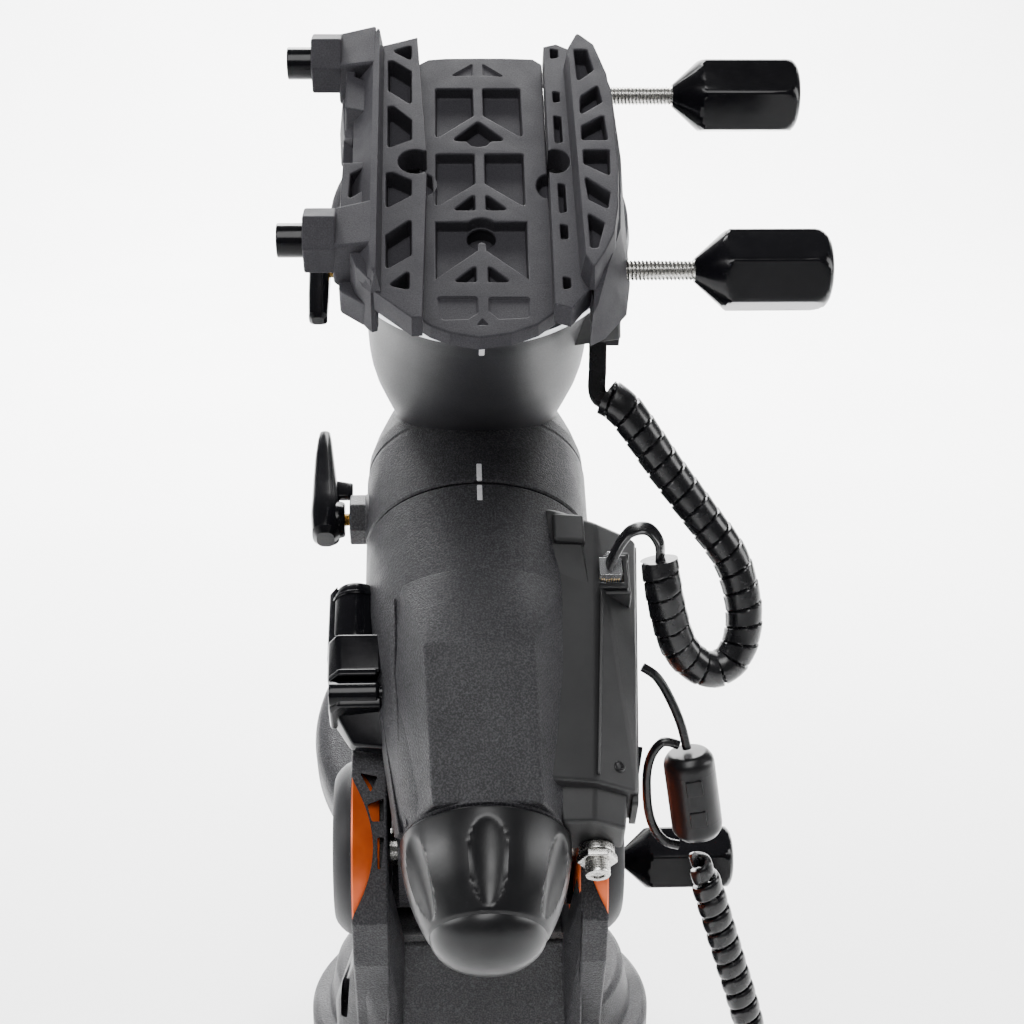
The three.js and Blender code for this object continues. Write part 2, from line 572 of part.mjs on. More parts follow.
for (const [i, end] of ['upper', 'lower'].entries()) {
  const socket = cut(
    turned([[0, 46], [ROD_R, 46], [ROD_R, 67.5], [6.5, 67.5], [6.5, 75.5], [5.8, 76.5], [0, 76.5]], 20),
    rod(3.4, 72, 78, 6),
  );
  add(tilted, `jaw_screw_${end}`, place(socket, [0, TIE_Y[i], SCREW_Z], [-1, 0, 0]), glossBlack);
  add(tilted, `jaw_knob_${end}`, place(handKnob(57), [20.5, TIE_Y[i], TIE_Z], [1, 0, 0]), glossBlack);
}

// ---------- counterweight ----------
const down = [0, 0, -1];
add(tilted, 'counterweight_bar', turned([
  [0, BAR_END], [BAR_R, BAR_END], [BAR_R, -68], [12, -68], [12, -52.4], [0, -52.4],
], 16), steel);
add(tilted, 'bar_lock_ring', pipe(12 + GAP, 20, -64, -52.4, 24), castBlack);
const weight = cut(
  turned([
    [BAR_R + GAP, WEIGHT_TOP - WEIGHT_H], [WEIGHT_R - 9, WEIGHT_TOP - WEIGHT_H],
    [WEIGHT_R, WEIGHT_TOP - WEIGHT_H + 9],
    [WEIGHT_R, WEIGHT_TOP - 7], [WEIGHT_R - 7, WEIGHT_TOP], [BAR_R + GAP, WEIGHT_TOP],
    [BAR_R + GAP, WEIGHT_TOP - WEIGHT_H],
  ], 40),
  place(rod(5 + GAP, 5, 100, 16), [0, 0, WEIGHT_TOP - WEIGHT_H / 2], [0, 1, 0]),
);
add(tilted, 'counterweight', weight, castBlack);
add(tilted, 'counterweight_lock_knob', place(turned([
  [0, 10], [5, 10], [5, 92], [8, 92], [11, 95], [11, 108], [8, 111], [0, 111],
], 14), [0, 0, WEIGHT_TOP - WEIGHT_H / 2], [0, 1, 0]), glossBlack);
add(tilted, 'safety_nut', place(cut(
  turned([[0, 0], [20, 0], [22, 2], [22, 10], [18, 13], [0, 13]], 16),
  rod(BAR_R + GAP, -1, 9, 16),
), [0, 0, BAR_END + 8.5], down), castBlack);

// ---------- cables, drawn in the row frame ----------
const wrapRoute = [
  [54.2, 0.4, 303.5], [60, -2, 300], [68, -4, 290], [77.7, -6, 276], [87.7, -8, 262.7], [97.8, -10, 249.3],
  [107.2, -12, 236.2], [112.2, -14, 222.6], [114.2, -16, 209.4], [112.7, -18, 198.1], [108, -20, 190],
  [100.7, -22, 187], [91.5, -24, 191.6], [84.5, -26, 200.9], [80, -27, 214.7], [77, -28, 227.5],
  [75, -27, 240],
];
const headLead = [[54, 5.3, 321.8], [52, 4.4, 317], [49.4, 3.2, 310], [50.5, 1.6, 304.5], [56, 0, 302.5]];
const panelLead = [[75.2, -27, 238], [75, -27, 247], [70, -26.5, 253.5], [62.5, -25.5, 252], [57, -24.5, 243],
  [54, -23.6, 236]];
const wrap = hose(wrapRoute, 7.2, 36, 8);
add(object, 'dec_cable', join(wrap, hose(headLead, 2.5, 6, 6), hose(panelLead, 2.5, 8, 6)), cordBlack);

const handLead = [[67.6, -41, 197], [73, -42, 193.5], [79, -43, 184], [84.5, -44, 171], [87.2, -44.5, 160.5]];
add(object, 'hand_cable', hose(handLead, 2, 8, 6), cordBlack);
const beadTop = new THREE.Vector3(87.5, -44.6, 159);
const beadFoot = new THREE.Vector3(93.5, -46, 120);
const beadAxis = beadFoot.clone().sub(beadTop);
add(object, 'ferrite_bead', place(
  rod(11, 0, beadAxis.length(), 24, 2.5), beadTop.toArray(), beadAxis.toArray()), glossBlack);
const loopRoute = [[83.5, -45, 162.4], [77, -45, 164], [71.5, -45, 156], [70.5, -45.4, 141], [73, -45.8, 126],
  [79, -46, 117], [85, -46, 115]];
add(object, 'ferrite_loop', hose(loopRoute, 2, 16, 6), cordBlack);
const coilRoute = [[94, -46, 109], [97.6, -46, 97], [104, -46, 76], [110.5, -46, 55], [117, -46, 34],
  [122.5, -46, 12], [126, -46, -12], [127.5, -46, -40], [128, -46, -75], [128, -46, -115]];
add(object, 'curly_cord', hose(coilRoute, 7, 24, 8), cordBlack);
add(object, 'hand_plug', join(
  block(122.2, 133.8, -49.5, -42.5, -147, -125),
  block(124.5, 131.5, -48.5, -43.5, -126, -115.6),
), mattBlack);

export default object;
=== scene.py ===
"""Looks of a computerised German equatorial telescope mount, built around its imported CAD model.

Shapes are written in millimetres in one of two frames: ROW, the model's own frame, and TILT, which has its
origin where the two axes cross, x to the right, y up the polar axis and z up the declination axis.
"""
import json
import math

import bmesh
import bpy
from mathutils import Matrix, Vector
from mathutils.geometry import tessellate_polygon


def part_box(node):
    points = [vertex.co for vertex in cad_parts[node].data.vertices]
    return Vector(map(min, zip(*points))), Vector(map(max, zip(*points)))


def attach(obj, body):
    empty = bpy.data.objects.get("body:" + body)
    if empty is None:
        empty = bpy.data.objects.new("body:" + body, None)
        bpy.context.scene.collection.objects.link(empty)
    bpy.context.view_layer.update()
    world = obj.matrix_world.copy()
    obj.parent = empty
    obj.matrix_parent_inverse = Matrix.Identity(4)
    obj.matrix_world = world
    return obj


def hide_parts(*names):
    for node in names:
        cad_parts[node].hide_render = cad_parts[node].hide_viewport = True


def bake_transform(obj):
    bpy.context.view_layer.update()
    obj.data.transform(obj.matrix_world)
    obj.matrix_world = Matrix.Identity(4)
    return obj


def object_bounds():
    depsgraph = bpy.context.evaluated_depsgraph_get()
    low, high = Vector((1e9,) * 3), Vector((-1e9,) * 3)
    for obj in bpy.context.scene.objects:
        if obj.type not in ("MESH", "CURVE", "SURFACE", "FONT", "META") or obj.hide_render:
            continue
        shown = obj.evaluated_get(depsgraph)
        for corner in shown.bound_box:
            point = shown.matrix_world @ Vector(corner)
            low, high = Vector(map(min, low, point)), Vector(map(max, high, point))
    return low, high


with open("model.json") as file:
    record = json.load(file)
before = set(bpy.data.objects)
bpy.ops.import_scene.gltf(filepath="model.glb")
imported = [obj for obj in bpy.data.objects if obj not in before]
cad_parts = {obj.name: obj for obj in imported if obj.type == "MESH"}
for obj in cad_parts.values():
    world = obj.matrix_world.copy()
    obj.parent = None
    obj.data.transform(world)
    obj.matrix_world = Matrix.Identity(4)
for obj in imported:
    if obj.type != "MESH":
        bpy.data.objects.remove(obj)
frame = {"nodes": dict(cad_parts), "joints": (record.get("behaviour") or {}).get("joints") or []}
cad_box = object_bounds()

MM = 0.001
TAU = 2 * math.pi
ROW = Matrix.Scale(MM, 4)


def joint(name):
    return next(j for j in frame["joints"] if j["name"] == name)


POLAR_AXIS = Vector(joint("ra")["axis"])
DEC_AXIS = Vector(joint("dec")["axis"])
CROSSING = Vector(joint("ra")["pos_m"])
ACROSS = POLAR_AXIS.cross(DEC_AXIS)
TILT = Matrix.Translation(CROSSING) @ Matrix(
    (ACROSS, POLAR_AXIS, DEC_AXIS)).transposed().to_4x4() @ Matrix.Scale(MM, 4)


# ---------- camera ----------
def make_camera():
    data = bpy.data.cameras.new("camera")
    data.lens = 63.28
    data.sensor_width = 36
    data.clip_end = 20
    camera = bpy.data.objects.new("camera", data)
    bpy.context.scene.collection.objects.link(camera)
    eye = Vector((-19, -735.335, 501.970)) * MM
    right = Vector((0.99904391, -0.04351104, 0.00424858))
    forward = Vector((0.04257316, 0.94618326, -0.32081799))
    up = right.cross(forward)
    camera.matrix_world = Matrix.Translation(eye) @ Matrix((right, up, -forward)).transposed().to_4x4()
    bpy.context.scene.camera = camera


make_camera()


# ---------- materials ----------
def new_material(name, color, roughness, metallic=0.0, transmission=0.0, shine=0.5):
    material = bpy.data.materials.new(name)
    material.use_nodes = True
    surface = material.node_tree.nodes["Principled BSDF"]
    surface.inputs["Base Color"].default_value = (*color, 1)
    surface.inputs["Roughness"].default_value = roughness
    surface.inputs["Metallic"].default_value = metallic
    surface.inputs["Specular IOR Level"].default_value = shine
    surface.inputs["Coat Roughness"].default_value = 0.08
    surface.inputs["Transmission Weight"].default_value = transmission
    return material


def noise(material, scale, detail=3.0, stretch=(1, 1, 1)):
    """A noise field in the piece's own coordinates; scale is in waves per metre."""
    nodes, links = material.node_tree.nodes, material.node_tree.links
    place = nodes.new("ShaderNodeTexCoord")
    mapping = nodes.new("ShaderNodeMapping")
    mapping.inputs["Scale"].default_value = stretch
    texture = nodes.new("ShaderNodeTexNoise")
    texture.inputs["Scale"].default_value = scale
    texture.inputs["Detail"].default_value = detail
    links.new(place.outputs["Object"], mapping.inputs["Vector"])
    links.new(mapping.outputs["Vector"], texture.inputs["Vector"])
    return texture.outputs["Fac"]


def bump(material, height, strength, distance):
    nodes, links = material.node_tree.nodes, material.node_tree.links
    surface = nodes["Principled BSDF"]
    node = nodes.new("ShaderNodeBump")
    node.inputs["Strength"].default_value = strength
    node.inputs["Distance"].default_value = distance
    links.new(height, node.inputs["Height"])
    if surface.inputs["Normal"].is_linked:
        links.new(surface.inputs["Normal"].links[0].from_socket, node.inputs["Normal"])
    links.new(node.outputs["Normal"], surface.inputs["Normal"])


def spread(material, fac, socket, low, high, start=0.3, end=0.7):
    """Drives a socket between two values, or two colours, by a field."""
    nodes, links = material.node_tree.nodes, material.node_tree.links
    surface = nodes["Principled BSDF"]
    if isinstance(low, tuple):
        ramp = nodes.new("ShaderNodeValToRGB")
        ramp.color_ramp.elements[0].position = start
        ramp.color_ramp.elements[1].position = end
        ramp.color_ramp.elements[0].color = (*low, 1)
        ramp.color_ramp.elements[1].color = (*high, 1)
        links.new(fac, ramp.inputs["Fac"])
        links.new(ramp.outputs["Color"], surface.inputs[socket])
        return
    span = nodes.new("ShaderNodeMapRange")
    span.inputs["From Min"].default_value = start
    span.inputs["From Max"].default_value = end
    span.inputs["To Min"].default_value = low
    span.inputs["To Max"].default_value = high
    links.new(fac, span.inputs["Value"])
    links.new(span.outputs["Result"], surface.inputs[socket])


def powder_coat():
    material = new_material("powder_coat", (0.02, 0.02, 0.022), 0.5, shine=0.38)
    grain = noise(material, 1350, 2)
    spread(material, grain, "Base Color", (0.006, 0.006, 0.008), (0.04, 0.039, 0.044), 0.42, 0.7)
    spread(material, noise(material, 60), "Roughness", 0.42, 0.56)
    bump(material, grain, 0.9, 0.0005)
    return material


def satin_coat():
    material = new_material("satin_coat", (0.012, 0.012, 0.014), 0.5, shine=0.25)
    fine = noise(material, 2600, 2)
    spread(material, noise(material, 45), "Base Color", (0.010, 0.010, 0.012), (0.015, 0.015, 0.017))
    spread(material, fine, "Roughness", 0.42, 0.55)
    bump(material, fine, 0.22, 0.00016)
    return material


def anodised():
    material = new_material("anodised", (0.011, 0.0105, 0.012), 0.62, shine=0.14)
    fine = noise(material, 2200, 2)
    spread(material, fine, "Base Color", (0.022, 0.021, 0.025), (0.036, 0.035, 0.04))
    spread(material, noise(material, 90), "Roughness", 0.55, 0.68)
    bump(material, fine, 0.28, 0.0002)
    return material


def gloss_plastic():
    material = new_material("gloss_plastic", (0.003, 0.003, 0.004), 0.16, shine=0.2)
    spread(material, noise(material, 120), "Roughness", 0.13, 0.2)
    bump(material, noise(material, 260, 2), 0.05, 0.0002)
    return material


def satin_plastic():
    material = new_material("satin_plastic", (0.005, 0.005, 0.006), 0.32, shine=0.34)
    spread(material, noise(material, 90), "Roughness", 0.28, 0.38)
    bump(material, noise(material, 900, 2), 0.08, 0.0002)
    return material


def matt_plastic():
    material = new_material("matt_plastic", (0.012, 0.012, 0.013), 0.5, shine=0.4)
    fine = noise(material, 3000, 2)
    spread(material, noise(material, 70), "Base Color", (0.009, 0.009, 0.010), (0.014, 0.014, 0.015))
    spread(material, fine, "Roughness", 0.42, 0.56)
    bump(material, fine, 0.16, 0.00012)
    return material


def cord_plastic():
    material = new_material("cord_plastic", (0.004, 0.004, 0.005), 0.26, shine=0.5)
    spread(material, noise(material, 150), "Roughness", 0.2, 0.32)
    bump(material, noise(material, 600, 2), 0.06, 0.0002)
    return material


def orange_anodised():
    material = new_material("orange_anodised", (0.78, 0.12, 0.02), 0.36, 0.35)
    spread(material, noise(material, 70), "Base Color", (0.7, 0.1, 0.016), (0.86, 0.15, 0.028))
    bump(material, noise(material, 2200, 2, (1, 0.1, 0.1)), 0.1, 0.00012)
    return material


def metal(name, low, high, roughness, stretch=(1, 1, 1)):
    material = new_material(name, low, roughness, 1.0)
    fine = noise(material, 1400, 3, stretch)
    spread(material, fine, "Base Color", low, high)
    spread(material, fine, "Roughness", roughness - 0.06, roughness + 0.08)
    bump(material, fine, 0.08, 0.0001)
    return material


def painted_mark():
    material = new_material("painted_mark", (0.55, 0.55, 0.56), 0.45)
    spread(material, noise(material, 900), "Base Color", (0.48, 0.48, 0.5), (0.62, 0.62, 0.63))
    return material


def clear_plastic():
    material = new_material("clear_plastic", (0.85, 0.86, 0.88), 0.08, transmission=0.85)
    material.node_tree.nodes["Principled BSDF"].inputs["IOR"].default_value = 1.5
    bump(material, noise(material, 500), 0.05, 0.0002)
    return material


def board_green():
    material = new_material("board_green", (0.02, 0.12, 0.05), 0.4)
    spread(material, noise(material, 300), "Base Color", (0.015, 0.09, 0.035), (0.03, 0.15, 0.06))
    return material


CAST = powder_coat()
SATIN = satin_coat()
ANODISED = anodised()
GLOSS = gloss_plastic()
SATIN_PLASTIC = satin_plastic()
MATT = matt_plastic()
CORD = cord_plastic()
ORANGE = orange_anodised()
STEEL = metal("steel", (0.5, 0.49, 0.47), (0.66, 0.65, 0.62), 0.26)
BRASS = metal("brass", (0.62, 0.4, 0.12), (0.78, 0.54, 0.2), 0.28)
ALUMINIUM = metal("aluminium", (0.5, 0.51, 0.53), (0.64, 0.65, 0.67), 0.34, (0.2, 1, 1))
MARK = painted_mark()
CLEAR = clear_plastic()
BOARD = board_green()


# ---------- outlines ----------
def arc(cx, cy, radius, start, end, steps=12):
    """Points round part of a circle, with the angles in degrees."""
    angles = [math.radians(start + (end - start) * i / steps) for i in range(steps + 1)]
    return [(cx + radius * math.cos(t), cy + radius * math.sin(t)) for t in angles]


def rect(x0, x1, y0, y1):
    return [(x0, y0), (x1, y0), (x1, y1), (x0, y1)]


def six_corners(radius):
    return [(radius * math.cos(t), radius * math.sin(t)) for t in (math.radians(60 * i) for i in range(6))]


def rounded(points, radius, steps=4):
    """An outline with its corners rounded off."""
    out = []
    count = len(points)
    for i in range(count):
        here, before, after = Vector(points[i]), Vector(points[i - 1]), Vector(points[(i + 1) % count])
        to_before, to_after = before - here, after - here
        angle = to_before.angle(to_after, math.pi)
        if angle > math.radians(176):
            out.append(tuple(here))
            continue
        reach = radius / math.tan(angle / 2)
        room = 0.45 * min(to_before.length, to_after.length)
        reach = min(reach, room)
        start, end = here + to_before.normalized() * reach, here + to_after.normalized() * reach
        for k in range(steps + 1):
            t = k / steps
            out.append(tuple((1 - t) ** 2 * start + 2 * t * (1 - t) * here + t * t * end))
    return out


def area(points):
    return 0.5 * sum(a[0] * b[1] - b[0] * a[1] for a, b in zip(points, points[1:] + points[:1]))


def counterclockwise(points):
    return list(points) if area(points) > 0 else list(reversed(points))


def offset(points, distance):
    """A counterclockwise outline moved outward by a distance, or inward by a negative one."""
    out = []
    count = len(points)
    for i in range(count):
        here, before, after = Vector(points[i]), Vector(points[i - 1]), Vector(points[(i + 1) % count])
        d0, d1 = (here - before).normalized(), (after - here).normalized()
        n0, n1 = Vector((d0.y, -d0.x)), Vector((d1.y, -d1.x))
        mean = n0 + n1
        if mean.length < 1e-6:
            mean = n0.copy()
        mean.normalize()
        out.append(tuple(here + mean * distance / max(0.5, mean.dot(n0))))
    return out


# ---------- shapes: lists of points and faces ----------
def moved(shape, matrix):
    points, faces = shape
    return [matrix @ Vector(p) for p in points], faces


def joined(*shapes):
    points, faces = [], []
    for more, sides in shapes:
        shift = len(points)
        points += [Vector(p) for p in more]
        faces += [[i + shift for i in side] for side in sides]
    return points, faces


def pointing(at, along, around=None):
    """A matrix that puts the Z axis along a direction, from a point."""
    z = Vector(along).normalized()
    x = Vector(around) if around else z.orthogonal()
    x = (x - z * x.dot(z)).normalized()
    y = z.cross(x)
    return Matrix.Translation(at) @ Matrix((x, y, z)).transposed().to_4x4()


def skin(rings, closed=False, caps=True):
    """A surface through rings of equal length; closed joins the last ring to the first."""
    points = [Vector(p) for ring in rings for p in ring]
    size, count = len(rings[0]), len(rings)
    faces = []
    for i in range(count if closed else count - 1):
        j = (i + 1) % count
        for k in range(size):
            m = (k + 1) % size
            faces.append([i * size + k, i * size + m, j * size + m, j * size + k])
    if caps and not closed:
        faces.append(list(reversed(range(size))))
        faces.append([(count - 1) * size + k for k in range(size)])
    return points, faces


def lathe(profile, segments=64, radius_at=None):
    """A turned shape from (radius, height) pairs: on the axis at both ends, or else closed on itself."""
    open_ends = profile[0][0] == 0 and profile[-1][0] == 0
    body = profile[1:-1] if open_ends else profile
    rings = []
    for r, z in body:
        ring = []
        for k in range(segments):
            t = TAU * k / segments
            radius = radius_at(r, z, t) if radius_at else r
            ring.append((radius * math.cos(t), radius * math.sin(t), z))
        rings.append(ring)
    points, faces = skin(rings, closed=not open_ends, caps=False)
    if open_ends:
        last = len(points)
        points += [Vector((0, 0, profile[0][1])), Vector((0, 0, profile[-1][1]))]
        end = (len(body) - 1) * segments
        for k in range(segments):
            m = (k + 1) % segments
            faces.append([last, m, k])
            faces.append([last + 1, end + k, end + m])
    return points, faces


def edged(profile, radius, steps=3):
    """A lathe profile with its corners rounded, keeping its ends on the axis."""
    out = [profile[0]]
    for before, here, after in zip(profile, profile[1:], profile[2:]):
        a, h, b = Vector(before), Vector(here), Vector(after)
        reach = min(radius, 0.45 * (a - h).length, 0.45 * (b - h).length)
        start, end = h + (a - h).normalized() * reach, h + (b - h).normalized() * reach
        for k in range(steps + 1):
            t = k / steps
            out.append(tuple((1 - t) ** 2 * start + 2 * t * (1 - t) * h + t * t * end))
    return out + [profile[-1]]


def pipe(inner, outer, low, high, edge=0.5, segments=64):
    ring = rounded(rect(inner, outer, low, high), edge, 2)
    return lathe(ring, segments)


def hull(points, edge=0.0, segments=3):
    """The convex shape round some points, with rounded edges."""
    mesh = bmesh.new()
    for p in points:
        mesh.verts.new(p)
    bmesh.ops.convex_hull(mesh, input=mesh.verts)
    bmesh.ops.delete(mesh, geom=[v for v in mesh.verts if not v.link_faces], context="VERTS")
    bmesh.ops.dissolve_limit(mesh, angle_limit=math.radians(1.5), verts=mesh.verts, edges=mesh.edges)
    if edge:
        sharp = [e for e in mesh.edges if e.calc_face_angle(0) > math.radians(12)]
        bmesh.ops.bevel(mesh, geom=sharp, offset=edge, segments=segments, profile=0.5, affect="EDGES",
                        clamp_overlap=True)
    mesh.verts.index_update()
    out = [v.co.copy() for v in mesh.verts], [[v.index for v in f.verts] for f in mesh.faces]
    mesh.free()
    return out


def block(x0, x1, y0, y1, z0, z1, edge=0.5):
    corners = [(x, y, z) for x in (x0, x1) for y in (y0, y1) for z in (z0, z1)]
    return hull(corners, edge, 2)


def milled(outline, low, high, pockets=(), edge=0.6, flare=0.0, draft=0.35):
    """A plate between two heights with rounded edges. Each pocket is (outline, depth, inner pockets), and a
    depth of None goes right through. The foot of the outer wall is flared outward."""
    points, faces = [], []

    def bevel(size):
        """How far in and how far down each ring of a rounded edge sits, from the flat outward."""
        return [(size * (1 - math.sin(t)), size * (1 - math.cos(t))) for t in (0, TAU / 12, TAU / 6, TAU / 4)]

    def ring(loop, z):
        start = len(points)
        points.extend(Vector((x, y, z)) for x, y in loop)
        return list(range(start, start + len(loop)))

    def wall(rings):
        for a, b in zip(rings, rings[1:]):
            for k in range(len(a)):
                m = (k + 1) % len(a)
                faces.append([a[k], a[m], b[m], b[k]])

    def fill(loops):
        flat = [i for loop in loops for i in loop]
        lists = [[Vector((points[i].x, points[i].y, 0)) for i in loop] for loop in loops]
        for triangle in tessellate_polygon(lists):
            faces.append([flat[i] for i in triangle])

    through = []

    def sink(pocket, top):
        loop, depth, inner = pocket
        loop = counterclockwise(loop)
        size = edge if depth is None else min(edge, 0.4 * depth)
        rim = [ring(offset(loop, a), top - b) for a, b in bevel(size)]
        if depth is None:
            foot = [ring(offset(loop, a), low + b) for a, b in reversed(bevel(size))]
            wall(rim + foot)
            through.append(foot[-1])
            return rim[0]
        floor = top - depth
        foot = [ring(offset(loop, -draft), floor + size), ring(offset(loop, -draft - size * 0.3),
                                                               floor + size * 0.3),
                ring(offset(loop, -draft - size), floor)]
        wall(rim + foot)
        fill([foot[-1]] + [sink(child, floor) for child in inner])
        return rim[0]

    outer = counterclockwise(outline)
    top_rings = [ring(offset(outer, -a), high - b) for a, b in bevel(edge)]
    bottom_rings = [ring(offset(outer, flare - a), low + b) for a, b in reversed(bevel(edge))]
    wall(top_rings + bottom_rings)
    fill([top_rings[0]] + [sink(pocket, high) for pocket in pockets])
    fill([bottom_rings[-1]] + through)
    return points, faces


def pocket(points, depth, radius=1.2, inner=()):
    return rounded(counterclockwise(points), radius), depth, list(inner)


def frames_along(route, first_side=None):
    """Positions and steady side vectors along a route."""
    tangents = []
    for i in range(len(route)):
        tangents.append((route[min(i + 1, len(route) - 1)] - route[max(i - 1, 0)]).normalized())
    side = Vector(first_side) if first_side else tangents[0].orthogonal().normalized()
    out = []
    for p, t in zip(route, tangents):
        side = (side - t * side.dot(t)).normalized()
        out.append((p, t, side, t.cross(side)))
    return out


def smooth_route(points, step):
    """A centripetal Catmull-Rom curve through the points, cut into even steps."""
    p = [Vector(q) for q in points]
    p = [2 * p[0] - p[1]] + p + [2 * p[-1] - p[-2]]
    dense = []
    for i in range(1, len(p) - 2):
        knots = [0.0]
        for a, b in zip(p[i - 1:i + 2], p[i:i + 3]):
            knots.append(knots[-1] + max((b - a).length, 1e-9) ** 0.5)
        for k in range(24):
            t = knots[1] + (knots[2] - knots[1]) * k / 24
            row = p[i - 1:i + 3]
            for level in (1, 2, 3):
                row = [row[j] * (knots[j + level] - t) / (knots[j + level] - knots[j])
                       + row[j + 1] * (t - knots[j]) / (knots[j + level] - knots[j])
                       for j in range(len(row) - 1)]
            dense.append(row[0])
    dense.append(p[-2])
    lengths = [0.0]
    for a, b in zip(dense, dense[1:]):
        lengths.append(lengths[-1] + (b - a).length)
    count = max(2, round(lengths[-1] / step))
    out, j = [], 0
    for i in range(count + 1):
        goal = lengths[-1] * i / count
        while j < len(lengths) - 2 and lengths[j + 1] < goal:
            j += 1
        share = (goal - lengths[j]) / max(lengths[j + 1] - lengths[j], 1e-9)
        out.append(dense[j].lerp(dense[j + 1], min(share, 1)))
    return out


def tube(route, radius, sides=12, width=None, first_side=None):
    """A round or, with a width, a flat tube along a route, with rounded ends."""
    rings = []
    wide = width or radius
    power = 0.5 if width else 1
    for p, _, side, up in frames_along(route, first_side):
        ring = []
        for k in range(sides):
            c, w = math.cos(TAU * k / sides), math.sin(TAU * k / sides)
            ring.append(p + side * wide * math.copysign(abs(c) ** power, c)
                        + up * radius * math.copysign(abs(w) ** power, w))
        rings.append(ring)
    return skin(rings)


def threaded(radius, low, high, pitch, depth=0.55, sides=28, per_turn=6):
    """A rod with a screw thread, along Z."""
    count = int((high - low) / pitch * per_turn)
    rings = []
    for i in range(count + 1):
        z = low + (high - low) * i / count
        ease = min(1, (high - z) / pitch, (z - low) / pitch)
        ring = []
        for k in range(sides):
            phase = (z / pitch - k / sides) % 1
            cut = depth * abs(2 * phase - 1) * max(ease, 0)
            r = radius - cut - 0.3 * (1 - max(ease, 0))
            ring.append((r * math.cos(TAU * k / sides), r * math.sin(TAU * k / sides), z))
        rings.append(ring)
    return skin(rings)


# ---------- objects ----------
def piece(name, shape, material, body, replaces=(), matrix=TILT, sharp=32, flat_faces=True):
    points, faces = shape
    mesh = bpy.data.meshes.new(name)
    mesh.from_pydata([matrix @ Vector(p) for p in points], [], [list(f) for f in faces])
    mesh.update()
    work = bmesh.new()
    work.from_mesh(mesh)
    bmesh.ops.remove_doubles(work, verts=work.verts, dist=1e-7)
    bmesh.ops.recalc_face_normals(work, faces=work.faces)
    work.to_mesh(mesh)
    work.free()
    mesh.polygons.foreach_set("use_smooth", [True] * len(mesh.polygons))
    mesh.set_sharp_from_angle(angle=math.radians(sharp))
    obj = bpy.data.objects.new(name, mesh)
    bpy.context.scene.collection.objects.link(obj)
    mesh.materials.append(material)
    if flat_faces:
        weighted = obj.modifiers.new("weighted", "WEIGHTED_NORMAL")
        weighted.keep_sharp = True
    if body:
        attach(obj, body)
    if replaces:
        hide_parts(*replaces)
    return obj


def carved(shape, *tools):
    """A shape with the tools cut out of it."""
    made = []
    for points, faces in (shape, *tools):
        mesh = bpy.data.meshes.new("carving")
        mesh.from_pydata([Vector(p) for p in points], [], [list(f) for f in faces])
        work = bmesh.new()
        work.from_mesh(mesh)
        bmesh.ops.remove_doubles(work, verts=work.verts, dist=1e-5)
        bmesh.ops.recalc_face_normals(work, faces=work.faces)
        work.to_mesh(mesh)
        work.free()
        obj = bpy.data.objects.new("carving", mesh)
        bpy.context.scene.collection.objects.link(obj)
        made.append(obj)
    for tool in made[1:]:
        cut = made[0].modifiers.new("cut", "BOOLEAN")
        cut.operation = "DIFFERENCE"
        cut.solver = "EXACT"
        cut.object = tool
    bpy.context.view_layer.update()
    result = made[0].evaluated_get(bpy.context.evaluated_depsgraph_get()).to_mesh()
    out = [v.co.copy() for v in result.vertices], [list(f.vertices) for f in result.polygons]
    for obj in made:
        mesh = obj.data
        bpy.data.objects.remove(obj)
        bpy.data.meshes.remove(mesh)
    return out


X, A, N = (1, 0, 0), (0, 1, 0), (0, 0, 1)
LEFT, DOWN_A = (-1, 0, 0), (0, -1, 0)


def along(shape, at, direction, around=None):
    return moved(shape, pointing(Vector(at), direction, around))


SIDE = Matrix(((0, 0, 1, 0), (1, 0, 0, 0), (0, 1, 0, 0), (0, 0, 0, 1)))


def side_plate(outline, low, high, **details):
    """A milled plate whose outline is read as (y, z) and whose top faces +X."""
    return moved(milled(outline, low, high, **details), SIDE)


def mirrored(shape):
    points, faces = shape
    return [Vector((-p[0], p[1], p[2])) for p in points], [list(reversed(f)) for f in faces]


# ---------- cables ----------
# The routes are the CAD model's own, but for the head's lead, which reaches further up into its port.
WRAP_ROUTE = [
    (54.2, 0.4, 303.5), (60, -2, 300), (68, -4, 290), (77.7, -6, 276), (87.7, -8, 262.7), (97.8, -10, 249.3),
    (107.2, -12, 236.2), (112.2, -14, 222.6), (114.2, -16, 209.4), (112.7, -18, 198.1), (108, -20, 190),
    (100.7, -22, 187), (91.5, -24, 191.6), (84.5, -26, 200.9), (80, -27, 214.7), (77, -28, 227.5),
    (75, -27, 240),
]
HEAD_LEAD = [(50.6, 8.8, 335.5), (50.4, 6.2, 324), (50.2, 3.4, 313), (50, 1.6, 306), (51.6, 0.6, 302.8),
             (57, 0, 302)]
PANEL_LEAD = [(75.2, -27, 238), (75, -27, 247), (70, -26.5, 253.5), (62.5, -25.5, 252), (57, -24.5, 243),
              (54, -23.6, 236)]
HAND_LEAD = [(67.6, -41, 197), (73, -42, 193.5), (79, -43, 184), (84.5, -44, 171), (87.2, -44.5, 160.5)]
LOOP_ROUTE = [(83.5, -45, 162.4), (77, -45, 164), (71.5, -45, 156), (70.5, -45.4, 141), (73, -45.8, 126),
              (79, -46, 117), (85, -46, 115)]
COIL_ROUTE = [(94, -46, 109), (97.6, -46, 97), (104, -46, 76), (110.5, -46, 55), (117, -46, 34),
              (122.5, -46, 12), (126, -46, -12), (127.5, -46, -40), (128, -46, -75), (128, -46, -115)]
WRAP_R = 8.2
WRAP_PITCH = 8.3
COIL_R = 7.0
COIL_PITCH = 8.2
BEAD_TOP, BEAD_FOOT = Vector((87.5, -44.6, 159)), Vector((93.5, -46, 120))


def metres(points):
    return [tuple(Vector(p) * MM) for p in points]


